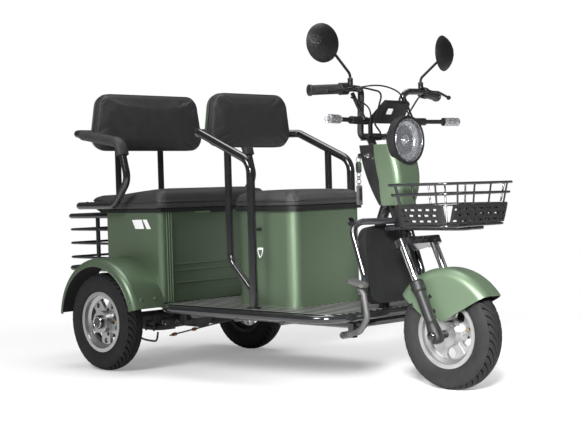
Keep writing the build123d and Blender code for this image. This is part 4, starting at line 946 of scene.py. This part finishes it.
# Columns: name, start and aim of a ray, width, height, thickness and corner, finish
dash_plates = (
    ("dash_label", (-29, -700, 1000), (-29, -572, 924), (27, 21, 0.4, 1.0), "white_mark"),
    ("dash_screen", (0, -350, 1100), (0, -540, 925), (112, 50, 0.8, 8), "gloss_black"),
)
for name, start, aim, sizes, finish in dash_plates:
    spot, normal = touch("dash", start, aim)
    join_pieces(name, [plate(spot, normal, upward, *sizes)], "steering", finish)
print("marks made")

# %% Ignition lock, key and fob
lock_spot, lock_normal = touch("cowl_cover", (-140, -502, 777), (-20, -502, 777))
lock_place = lock_spot / mm
key_out = Vector((-1, 0, 0))
key_face = Vector((0, -1, 0))
fob_line = lock_place + key_out * 58 + Vector((0, 0, -10))
# Columns: radius, height above the line's top, axis of each link
chain = ((9, -2, (1, 0, 0)), (8, -54, (1, 0, 0)), (6, -64, (0, 1, 0)), (9, -76, (1, 0, 0)),
         (5, -86, (0, 1, 0)))
link_wire = 1.3
links = []
for radius, drop, axis in chain:
    links.append(ring_of(radius, link_wire, fob_line + Vector((0, -3, drop)), axis, 20))


def key_plate(place, *sizes):
    """A plate in the key's plane: its middle, then width, height, thickness and corner."""
    return [plate(place * mm, key_face, upward, *sizes)]


# Columns: name, shape, finish, smooth
key_pieces = (
    ("ignition_lock", [turned([(-2, 12), (4, 12), (5.5, 10.5)], lock_place, key_out, 28)],
     "black_plastic", True),
    ("ignition_core", [turned([(4, 7), (8, 7), (8.8, 6)], lock_place, key_out, 24)], "chrome", True),
    ("key_blade", key_plate(lock_place + key_out * 24, 34, 7, 1.4), "chrome", False),
    ("key_head", key_plate(lock_place + key_out * 46, 22, 18, 5, 7), "black_plastic", False),
    ("key_links", links, "plain_steel", True),
    ("key_fob", key_plate(fob_line + Vector((0, 0, -28)), 20, 38, 8, 9), "gloss_black", False),
    ("key_remote", key_plate(fob_line + Vector((0, 0, -122)), 20, 66, 9, 4), "grey_cast", False),
    ("key_remote_face", key_plate(fob_line + Vector((0, -9.2, -118)), 12, 44, 0.8, 3),
     "gloss_black", False),
)
for name, made, finish, smooth in key_pieces:
    join_pieces(name, made, "frame", finish, smooth)
print("key hangs at", [round(v) for v in fob_line])

# %% Seat box fittings
box_lock, box_normal = touch("seat_box", (118, -400, 546.5), (118, -200, 546.5))
peg, peg_normal = touch("seat_box", (-300, -86, 532), (-100, -86, 532))
clip, clip_normal = touch("seat_box", (-300, -84, 462), (-100, -84, 462))
lock_profile = ((-1, 16), (3, 16), (5, 14.5), (5.4, 13))
keyhole = box_lock + box_normal * 5.2 * mm
lock_plug = [turned(lock_profile, box_lock / mm, box_normal, 32)]
lock_plug.append(plate(keyhole, box_normal, upward, 3, 12, 1.2))
peg_profile = ((-1, 7), (2, 7), (3, 3.4), (12, 3.4), (13, 5.5), (17, 5.5), (19, 3))
peg_parts = [turned(peg_profile, peg / mm, peg_normal, 20)]
clip_base = [plate(clip, clip_normal, upward, 26, 7, 3, 3)]
hook_steps = ((-2, -12, 3), (-4, -16, -4), (-4, -12, -16), (-4, -4, -30), (-4, 2, -32), (-4, 8, -18),
              (-4, 12, -4), (-2, 10, 3))
clip_hook = [clip + step for step in metres(hook_steps)]
hook_radius = 1.7 * mm
join_pieces("box_lock_plug", lock_plug, "frame", "gloss_black", True)
join_pieces("box_peg", peg_parts, "frame", "black_plastic", True)
join_pieces("box_clip_base", clip_base, "frame", "white_mark")
tube_piece("box_clip_hook", clip_hook, hook_radius, "frame", "white_mark")
print("seat box fittings made")

# %% [markdown]
# ## Fasteners
# Bolts show where pieces can be taken apart: on the front fender, at the foot of each rear
# fender, on the guard's feet and along the armrests. Their places are rays too, mirrored for
# the left side. Rounded caps close the front axle, and ribbed collars sit on the fork legs.

# %% Bolts
# Columns: name, node, body, finish, radius, height, start and aim of the rays on the right side
bolt_rows = (
    ("front_fender_bolts", "front_fender", "steering", "gloss_black", 4.5, 3.5, (
        ((-200, -750, 309), (0, -750, 309)), ((-200, -764.6, 261), (0, -764.6, 261)),
        ((-200, -672, 276), (0, -672, 276)))),
    ("rear_fender_bolts", "rear_fenders", "frame", "green_paint", 6.0, 5.0, (
        ((-500, 290, 290), (-424, 370, 271)), ((-385.7, 250, 318), (-385.7, 347.2, 277)),
        ((-318, 250, 318), (-318, 347.2, 277)))),
    ("guard_foot_bolts", "seat_guard", "frame", "gloss_black", 2.8, 3.0, (
        ((-276.5, -142.5, 300), (-276.5, -142.5, 250)), ((-247.5, -113.5, 300), (-247.5, -113.5, 250)),
        ((-247.5, -142.5, 300), (-247.5, -142.5, 250)), ((-276.5, -113.5, 300), (-276.5, -113.5, 250)))),
    ("armrest_bolts", "rear_seat_frame", "frame", "gloss_black", 4.0, 3.0, (
        ((-400, 575, 640), (-300, 575, 640)), ((-400, 730, 640), (-300, 730, 640)))),
)


def mirrored(place):
    return Vector((-place[0], place[1], place[2]))


for name, node, body, finish, radius, height, rays in bolt_rows:
    heads = []
    for start, aim in rays:
        for begin, end in ((Vector(start), Vector(aim)), (mirrored(start), mirrored(aim))):
            try:
                spot, normal = touch(node, begin, end)
            except ValueError:
                print("missed", name, [round(v) for v in begin])
                continue
            heads += bolt(spot, normal, radius, height)
    join_pieces(name, heads, body, finish)
print("bolt rows", len(bolt_rows))

# %% Axle caps and fork collars
fork_rake = math.radians(24)
fork_leg = 83.0
fork_up = Vector((0, math.sin(fork_rake), math.cos(fork_rake)))
fork_box = [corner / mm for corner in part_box("fork_sliders")]
collar_top = (fork_box[1].z - axle_z) / fork_up.z - 3
knob_profile = ((-10, 15), (-2, 15), (0, 13), (3, 9), (3.5, 4))
# Columns: distance below the top of the slider, radius
collar_profile = ((40, 18), (36, 23), (26, 23), (24, 21.5), (20, 21.5), (18, 23), (6, 23), (2, 20),
                  (-1, 14))
foot_profile = ((-26, 14), (-22, 20), (-6, 23), (16, 23), (34, 20.5), (52, 18))
axle_knobs = []
fork_parts = []
for side in (-1, 1):
    end = fork_box[0].x if side < 0 else fork_box[1].x
    axle_knobs.append(turned(knob_profile, (end, front_axle_y, axle_z), (side, 0, 0), 24))
    foot = Vector((side * fork_leg, front_axle_y, axle_z))
    collar = [(collar_top - down, radius) for down, radius in collar_profile]
    fork_parts.append(turned(collar, foot, fork_up, 28))
    fork_parts.append(turned(foot_profile, foot, fork_up, 28))
join_pieces("front_axle_caps", axle_knobs, "steering", "gloss_black", True)
join_pieces("fork_collars", fork_parts, "steering", "black_plastic", True)
print("fork collars at", round(collar_top), "mm")

# %% [markdown]
# ## Handlebar details
# Thin braces run beside the risers, small buttons sit on the switch housings, each mirror's
# back has a hexagonal moulding, and cables loop from the levers to the steering head.

# %% Braces and cables
brace_route = ((134, -500, 988), (131, -514, 958), (128, -530, 925), (126, -546, 896))
# Columns: name, radius, finish, route
bar_tubes = (
    ("bar_brace_right", 7.0, "black_tube", [(-x, y, z) for x, y, z in brace_route]),
    ("bar_brace_left", 7.0, "black_tube", brace_route),
    ("brake_cable", 2.6, "black_plastic", (
        (-150, -548, 1003), (-110, -562, 1012), (-40, -572, 1010), (36, -574, 988), (62, -558, 948),
        (60, -530, 918), (44, -510, 896))),
    ("throttle_cable", 2.6, "black_plastic", (
        (-204, -556, 968), (-160, -566, 955), (-110, -560, 930), (-90, -540, 880), (-72, -520, 845))),
)
for name, radius, finish, route in bar_tubes:
    tube_piece(name, metres(route), radius * mm, "steering", finish)
print("tubes on the bar", len(bar_tubes))

# %% Buttons and grip flanges
# Columns: distance from the middle, height of each button on a switch housing
button_places = ((200, 1004), (209, 993), (217, 1004))
button_size = (8, 6, 2.2, 1.5)
housing_y = (-430, -528)
grip_end = (330, -491, 992)
grip_run = (158, 51, -8)
grip_length = 116.0
# Columns: distance along the grip, radius
inner_flange = ((0, 17), (1, 20.5), (4, 20.5), (5, 17))
outer_flange = ((-4, 17), (-3, 19), (3, 19), (4.4, 16))
buttons = []
flanges = []
for side in (-1, 1):
    for x, z in button_places:
        near, far = ((side * x, y, z) for y in housing_y)
        try:
            spot, normal = touch("hand_controls", near, far)
        except ValueError:
            print("missed button", side * x)
            continue
        buttons.append(plate(spot, normal, upward, *button_size))
    end = Vector((side * grip_end[0], *grip_end[1:]))
    run = Vector((side * grip_run[0], *grip_run[1:])).normalized()
    flanges.append(turned(inner_flange, end - run * grip_length, run, 32))
    flanges.append(turned(outer_flange, end, run, 32))
join_pieces("switch_buttons", buttons, "steering", "piping_hide")
join_pieces("grip_flanges", flanges, "steering", "piping_hide", True)
print("buttons", len(buttons))

# %% Mouldings on the mirrors
hexagon_middle = (359, 1148)
hexagon_half = (8, 12)
hexagon_wire = 0.9
hexagons = []
for side in (-1, 1):
    route = []
    for step in range(6):
        angle = math.pi / 3 * step + math.pi / 6
        x = hexagon_middle[0] + hexagon_half[0] * math.cos(angle)
        z = hexagon_middle[1] + hexagon_half[1] * math.sin(angle)
        spot, normal = touch("mirrors", (side * (x - 60), -700, z), (side * x, -545, z))
        route.append(spot + normal * 0.6 * mm)
    for index, spot in enumerate(route):
        run = route[(index + 1) % 6] - spot
        edge = ((0, hexagon_wire), (run.length / mm, hexagon_wire))
        hexagons.append(turned(edge, spot / mm, run.normalized(), 8))
join_pieces("mirror_hexagons", hexagons, "steering", "plain_steel", True)
print("sides of the mouldings", len(hexagons))

# %% [markdown]
# ## Basket
# The real basket has two thick rails round its mouth and perforated sheets round its lower
# half, up to the corner posts. Each sheet is a strip of cells that wraps round the basket's
# corners; a cell with a slot is two polygons round a stadium outline. A flat sheet cut by
# booleans would be quicker to write, but it couldn't follow the corners.

# %% Places on the basket's walls
basket_middle = -801.5
basket_low, basket_tall = 541.0, 135.0
basket_corner = 42.0
basket_low_half = (157.0, 108.5)
basket_flare = (28.0, 20.0)
sheet_out = 3.8
sheet_shares = (0.05, 0.485)
slot_heights = (558.1, 576.2, 594.4)
slot_half_height = 3.3
slot_margin = 4.0
cell_margin = 1.5
plain_cell = 7.0


def basket_spot(front, u, share, out=0.0):
    """A place on the front or the right wall: u runs from the wall's middle round its corners."""
    width, length = (half + flare * share for half, flare in zip(basket_low_half, basket_flare))
    reach, depth = (width, length) if front else (length, width)
    straight = reach - basket_corner
    angle = min(math.pi / 2, max(0.0, (abs(u) - straight) / basket_corner))
    along = min(abs(u), straight) + (basket_corner + out) * math.sin(angle)
    across = depth - basket_corner + (basket_corner + out) * math.cos(angle)
    along = math.copysign(along, u)
    x, y = (along, basket_middle - across) if front else (-across, basket_middle + along)
    return Vector((x, y, basket_low + basket_tall * share)) * mm


print("basket corner", [round(v, 3) for v in basket_spot(True, basket_low_half[0], 0.0)])

# %% Perforated sheets


def slot_outline(u, share, half_length):
    """The stadium's left half from top to bottom, then its right half from bottom to top."""
    tall = slot_half_height / basket_tall
    flat = half_length - slot_half_height
    halves = []
    for turn in (-1, 1):
        half = [(u, share - turn * tall)]
        for step in range(5):
            angle = math.pi * (0.5 - step / 4) * -turn
            reach = flat + slot_half_height * math.cos(angle)
            half.append((u + turn * reach, share + tall * math.sin(angle)))
        halves.append(half + [(u, share + turn * tall)])
    return halves


def slotted_sheet(front, half, pitch, shift, slot_half):
    """Faces of a strip round one wall, given as polygons of (u, share)."""
    low, high = sheet_shares
    shares = [(height - basket_low) / basket_tall for height in slot_heights]
    edges = [low, (shares[0] + shares[1]) / 2, (shares[1] + shares[2]) / 2, high]
    cells = []
    for row, share in enumerate(shares):
        under, over = edges[row], edges[row + 1]
        lean = shift if row % 2 else -shift
        middles = [column * pitch + lean for column in range(-5, 6)]
        cuts = [-half]
        for u in middles:
            if abs(u) + slot_half >= half - slot_margin:
                continue
            left, right = u - slot_half - cell_margin, u + slot_half + cell_margin
            first, second = slot_outline(u, share, slot_half)
            cells.append([(u, over), (left, over), (left, under), (u, under)] + first[::-1])
            cells.append([(u, under), (right, under), (right, over), (u, over)] + second[::-1])
            cuts += [left, right]
        cuts.append(half)
        for left, right in zip(cuts[::2], cuts[1::2]):
            pieces = max(1, round((right - left) / plain_cell))
            for part in range(pieces):
                begin, close = (left + (right - left) * (part + end) / pieces for end in (0, 1))
                cells.append([(begin, under), (begin, over), (close, over), (close, under)])
    made = []
    for cell in cells:
        spots = [basket_spot(front, u, share, sheet_out) for u, share in cell]
        made.append((spots, [tuple(range(len(cell)))]))
    return made


def other_side(made):
    return [([Vector((-spot.x, spot.y, spot.z)) for spot in points], faces) for points, faces in made]


sheet_thickness = 1.6 * mm
weld_reach = 0.05 * mm
# Values: front wall or not, half of the strip, pitch and shift of its slots, half of a slot
side_sheet = slotted_sheet(False, 96, 30.5, 3.8, 10.5)
front_sheet = slotted_sheet(True, 146, 40.1, 5.0, 12.5)
for name, made in (("right", side_sheet), ("left", other_side(side_sheet)), ("front", front_sheet)):
    sheet = join_pieces("basket_sheet_" + name, made, "frame", "black_plastic")
    weld = sheet.modifiers.new("weld", "WELD")
    weld.merge_threshold = weld_reach
    thick = sheet.modifiers.new("thick", "SOLIDIFY")
    thick.thickness = sheet_thickness
    thick.offset = 0.0
print("cells of the sheets", len(front_sheet) + 2 * len(side_sheet))

# %% Rails round the basket
rail_share = 0.76
rail_steps = 46
rail_pitch = 6.0
for share, radius, name in ((rail_share, 4.4, "rail"), (1.0, 4.9, "mouth")):
    ring = []
    for turn in (1, -1):
        for step in range(rail_steps):
            spot = basket_spot(False, turn * (step - (rail_steps - 1) / 2) * rail_pitch, share)
            ring.append(Vector((spot.x * turn, spot.y, spot.z)))
    tube_piece("basket_" + name, ring, radius * mm, "frame", "black_tube", True)
print("basket rails made")

# %% [markdown]
# ## Under the deck
# A brake rod with adjusting nuts, a stand rod, the springs' U-bolts, an eye for a cable and a
# cable loom show below the deck's edge. They are tubes along short routes and turned shapes.

# %% Brake rod and stand rod
rod_start, rod_end = Vector((-120, 506, 109)), Vector((-120, 150, 190))
rod_run = (rod_end - rod_start).normalized()
rod_route = (rod_start, (rod_start + rod_end) / 2, rod_end)
nut_places = (18, 30, 142, 152)
stand_route = ((-120, 700, 96), (-120, 690, 84), (-120, 612, 79), (-120, 584, 82), (-120, 580, 118))
rod_radius = 3.0 * mm
stand_radius = 4.0 * mm
tube_piece("brake_rod", metres(rod_route), rod_radius, "frame", "plain_steel")
nuts = [turned([(along, 7), (along + 8, 7)], rod_start, rod_run, 6) for along in nut_places]
join_pieces("brake_rod_nuts", nuts, "frame", "copper")
eye = ring_of(10, 2.6, (-122, 459, 162), (1, 0, 0), 28)
join_pieces("cable_eye", [eye], "frame", "chrome", True)
tube_piece("stand_rod", metres(stand_route), stand_radius, "frame", "black_tube")
print("brake rod", round((rod_end - rod_start).length), "mm")

# %% The springs' U-bolts
spring_x = 140.0
u_bolt_low = 128.0
u_bolt_half = (26.0, 24.0)
saddle_half = (36.0, 34.0)
saddle_low = 138.0
u_bolts = []
for side in (-1, 1):
    for across in (-1, 1):
        for along in (-1, 1):
            x = side * spring_x + across * u_bolt_half[0]
            place = (x, rear_axle_y + along * u_bolt_half[1], u_bolt_low)
            u_bolts.append(turned([(0, 4), (60, 4)], place, upward, 10))
            u_bolts.append(turned([(6, 7.5), (13, 7.5)], place, upward, 6))
    saddle = []
    for across, along in ((-1, -1), (1, -1), (1, 1), (-1, 1)):
        x = side * spring_x + across * saddle_half[0]
        saddle.append((x, rear_axle_y + along * saddle_half[1], saddle_low))
    u_bolts.append(prism(saddle, (0, 0, 6)))
join_pieces("spring_u_bolts", u_bolts, "frame", "plain_steel")
print("parts of the U-bolts", len(u_bolts))

# %% Cable loom
loom_route = ((-96, 330, 232), (-98, 240, 214), (-100, 120, 222), (-102, 0, 206), (-100, -160, 220),
              (-96, -320, 210), (-70, -440, 232))
loom_radius = 5.5 * mm
tube_piece("loom", metres(loom_route), loom_radius, "frame", "black_plastic")
print("loom points", len(loom_route))

# %% [markdown]
# ## Padded seats
# A seat pad is foam under a sewn cover: flat underneath, crowned on top, with a soft rolled
# edge and a seam round its side. Each pad is lofted from offsets of its own outline, so the
# roll and the seam follow the corners at a steady width, which a bevelled box can't give.

# %% Pad outlines


def filled(points, spacing):
    """Adds points on long stretches of an outline."""
    dense = []
    for index, point in enumerate(points):
        after = points[(index + 1) % len(points)]
        count = max(1, round((after - point).length / spacing))
        dense += [point.lerp(after, step / count) for step in range(count)]
    return dense


def inward(points, distance):
    """The outline moved inwards along its normals."""
    count = len(points)
    moved = []
    for index in range(count):
        along = points[(index + 1) % count] - points[index - 1]
        normal = Vector((-along.y, along.x)).normalized()
        moved.append(points[index] + normal * distance)
    return moved


def pad_rings(outline, low, high, profile, crown, place, levels=9):
    """Rings of a pad: up its side by a profile of (inset, share of height), then in over its top."""
    rings = []
    middle = sum(outline, Vector((0, 0))) / len(outline)
    for inset, share in profile:
        ring = inward(outline, inset)
        rings.append([place(p.x, p.y, low(p) + (high(p) - low(p)) * share) for p in ring])
    edge = inward(outline, profile[-1][0])
    for level in range(1, levels):
        part = level / levels
        ring = [p.lerp(middle, part) for p in edge]
        lift = crown * (1 - (1 - part) ** 2)
        rings.append([place(p.x, p.y, high(p) + lift) for p in ring])
    return rings


print("pad helpers ready")

# %% [markdown]
# ## Inflating the covers
# A sewn cover is tight where it is stitched and bulges between the seams. Each lofted pad is
# cut into even cells and blown up by a short cloth simulation without gravity, held at its
# base and along its seam. A cap on the movement keeps the pad at its drawn size.

# %% A cover under pressure
cover_frames = 20
cover_pressure = 4.0
cover_settings = {"quality": 4, "mass": 0.3, "tension_stiffness": 14.0, "compression_stiffness": 14.0,
                  "shear_stiffness": 7.0, "bending_stiffness": 0.6, "use_pressure": True,
                  "uniform_pressure_force": cover_pressure}


def bake(made):
    """Makes a piece's modifiers part of its mesh."""
    mesh = bpy.data.meshes.new_from_object(made.evaluated_get(bpy.context.evaluated_depsgraph_get()))
    made.modifiers.clear()
    made.data = mesh


def puffed(made, cell, cap, held):
    """Blows up a cover; held(place) is true where it is sewn or glued down. Lengths in millimetres."""
    remesh = made.modifiers.new("even_cells", "REMESH")
    remesh.mode = "VOXEL"
    remesh.voxel_size = cell * mm
    remesh.use_smooth_shade = True
    bake(made)
    rest = [vertex.co.copy() for vertex in made.data.vertices]
    sewn = made.vertex_groups.new(name="sewn")
    sewn.add([index for index, place in enumerate(rest) if held(place / mm)], 1.0, "REPLACE")
    cloth = made.modifiers.new("cover", "CLOTH")
    for name, value in cover_settings.items():
        setattr(cloth.settings, name, value)
    cloth.settings.vertex_group_mass = "sewn"
    cloth.settings.effector_weights.gravity = 0.0
    cloth.point_cache.frame_end = cover_frames
    for step in range(1, cover_frames + 1):
        bpy.context.scene.frame_set(step)
    blown = made.evaluated_get(bpy.context.evaluated_depsgraph_get()).data
    moved = [vertex.co.copy() for vertex in blown.vertices]
    made.modifiers.remove(cloth)
    bpy.context.scene.frame_set(1)
    farthest = 0.0
    for vertex, start, end in zip(made.data.vertices, rest, moved):
        shift = end - start
        farthest = max(farthest, shift.length)
        vertex.co = start + shift * min(1.0, cap * mm / max(shift.length, mm / 1000))
    smooth = made.modifiers.new("fine", "SUBSURF")
    smooth.levels = smooth.render_levels = 1
    bake(made)
    print(made.name, len(rest), "cells, farthest", round(farthest / mm, 1), "mm")


print("cover helper ready")

# %% Sizes of the seat covers
seat_roll_profile = (
    (3.0 * mm, 0.0), (0.6 * mm, 0.04), (0.0, 0.10), (0.0, 0.30), (0.9 * mm, 0.345), (1.6 * mm, 0.36),
    (0.9 * mm, 0.375), (0.0, 0.42), (0.4 * mm, 0.58), (2.2 * mm, 0.72), (5.6 * mm, 0.84), (10.5 * mm, 0.93),
    (16.5 * mm, 0.985), (24.0 * mm, 1.0),
)
cover_start = 3.0 * mm
cover_cap = 6.0
seam_share = 0.36
outline_spacing = 12 * mm
glued_height = 5 * mm
seam_half = 3 * mm
bench_step_rise = 31 * mm
bench_step = (170 * mm, 70 * mm)
bench_fall = 10.8 * mm
bench_fall_reach = 1.15
print("seam at", seam_share, "of the height")

# %% The driver's cushion and the bench


def bench_under(p, low, high):
    """The bench's underside steps up towards its back."""
    start, end = (high.y - distance for distance in bench_step)
    part = min(1.0, max(0.0, (p.y - start) / (end - start)))
    return low.z + bench_step_rise * part * part * (3 - 2 * part)


def bench_over(p, low, high):
    """The bench's top falls towards its back."""
    part = (p.y - low.y) / (high.y - low.y)
    return high.z + bench_fall * (math.cos(math.pi * min(1.0, part * bench_fall_reach)) - 1)


seat_piping_in = 0.3 * mm
seat_piping_radius = 2.2 * mm


def seat_cushion(node, name, body, corner, crown, cell, below, above):
    """A cushion as large as its node, between the surfaces below and above."""
    low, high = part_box(node)
    corners = [(low.x, low.y), (high.x, low.y), (high.x, high.y), (low.x, high.y)]
    outline = filled(inward(rounded_outline(corners, corner), cover_start), outline_spacing)

    def under(p):
        return below(p, low, high)

    def over(p):
        return above(p, low, high) - crown - cover_start

    def seam(p):
        return under(p) + (over(p) - under(p)) * seam_share

    def held(spot):
        place = spot * mm
        return place.z < under(place) + glued_height or abs(place.z - seam(place)) < seam_half

    rings = pad_rings(outline, under, over, seat_roll_profile, crown, lambda u, v, w: Vector((u, v, w)))
    made = piece(name, *loft(rings), body, "black_hide")
    puffed(made, cell, cover_cap, held)
    route = [(p.x, p.y, seam(p)) for p in inward(outline, seat_piping_in)[::2]]
    tube_piece(name + "_piping", route, seat_piping_radius, body, "piping_hide", True)
    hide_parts(node)


# Values: node, name, body, radius of the corners, crown, cell in millimetres, underside, top
seat_cushion("front_seat_cushion", "driver_cushion", "front_seat_lid", 44 * mm, 5.0 * mm, 5.0,
             lambda p, low, high: low.z, lambda p, low, high: high.z)
seat_cushion("rear_bench_cushion", "bench_cushion", "rear_bench_lid", 46 * mm, 6.0 * mm, 6.0,
             bench_under, bench_over)
print("seat cushions made")

# %% The two backrest pads
back_top_share = 0.87
back_corner = 58 * mm
back_crown = 7.0 * mm
back_inset = 2 * mm
back_cell = 5.0
back_seam_share = 0.5
# Columns: share of the depth and inset of each piping cord
back_piping = ((back_seam_share, 0.6 * mm), (0.02, 0.4 * mm))
back_piping_radius = 2.4 * mm
# Half of each pad's width at its widest
driver_back_half = 214.5 * mm
passenger_back_half = 290 * mm
back_profile = (
    (2.0 * mm, 0.0), (0.4 * mm, 0.05), (0.0, 0.14), (0.6 * mm, 0.40), (1.2 * mm, 0.47), (2.4 * mm, 0.50),
    (1.2 * mm, 0.53), (0.8 * mm, 0.62), (2.6 * mm, 0.78), (6.5 * mm, 0.90), (12.0 * mm, 0.97),
    (20.0 * mm, 1.0),
)


def backrest_outline(low, high, wide):
    """Trapezoid with round corners, as wide as the pad's box at its widest."""
    narrow = wide * back_top_share
    corners = [(-wide, low.z), (wide, low.z), (narrow, high.z), (-narrow, high.z)]
    return filled(rounded_outline(corners, back_corner), outline_spacing)


def backrest_pad(node, name, wide):
    low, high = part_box(node)
    outline = inward(backrest_outline(low, high, wide), back_inset)
    depth = high.y - low.y - back_crown - cover_start
    rings = pad_rings(outline, lambda p: 0.0, lambda p: depth, back_profile, back_crown,
                      lambda u, v, w: Vector((u, high.y - w, v)))
    made = piece(name, *loft(rings), "frame", "black_hide")
    seam_y = high.y - depth * back_seam_share
    puffed(made, back_cell, cover_cap, lambda spot: spot.y * mm > high.y - glued_height
           or abs(spot.y * mm - seam_y) < seam_half)
    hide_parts(node)
    for share, inset in back_piping:
        ring = inward(outline, inset)
        route = [(p.x, high.y - depth * share, p.y) for p in ring[::2]]
        cord = name + "_piping_" + str(round(share * 100))
        made = tube_piece(cord, route, back_piping_radius, "frame", "piping_hide", True)


backrest_pad("front_backrest_pad", "driver_backrest", driver_back_half)
backrest_pad("rear_backrest_pad", "passenger_backrest", passenger_back_half)
print("backrest pads made")

# %% Armrest pads
armrest_cell = 5.0
armrest_cap = 3.0
armrest_tube_in = 27 * mm
armrest_glue_half = 8


def armrest_pads():
    """A copy of the solid pads, remeshed and blown up a little off the tube that they are glued to."""
    source = nodes["armrest_pads"]
    made = bpy.data.objects.new("armrest_covers", source.data.copy())
    bpy.context.scene.collection.objects.link(made)
    made.matrix_world = source.matrix_world.copy()
    made.data.transform(made.matrix_world)
    made.matrix_world = Matrix.Identity(4)
    made.data.materials.clear()
    made.data.materials.append(finishes["black_hide"])
    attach(made, "frame")
    tube_x = abs(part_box("armrest_pads")[0].x + armrest_tube_in) / mm
    puffed(made, armrest_cell, armrest_cap, lambda spot: abs(abs(spot.x) - tube_x) < armrest_glue_half)
    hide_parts("armrest_pads")


armrest_pads()
print("armrest pads made")
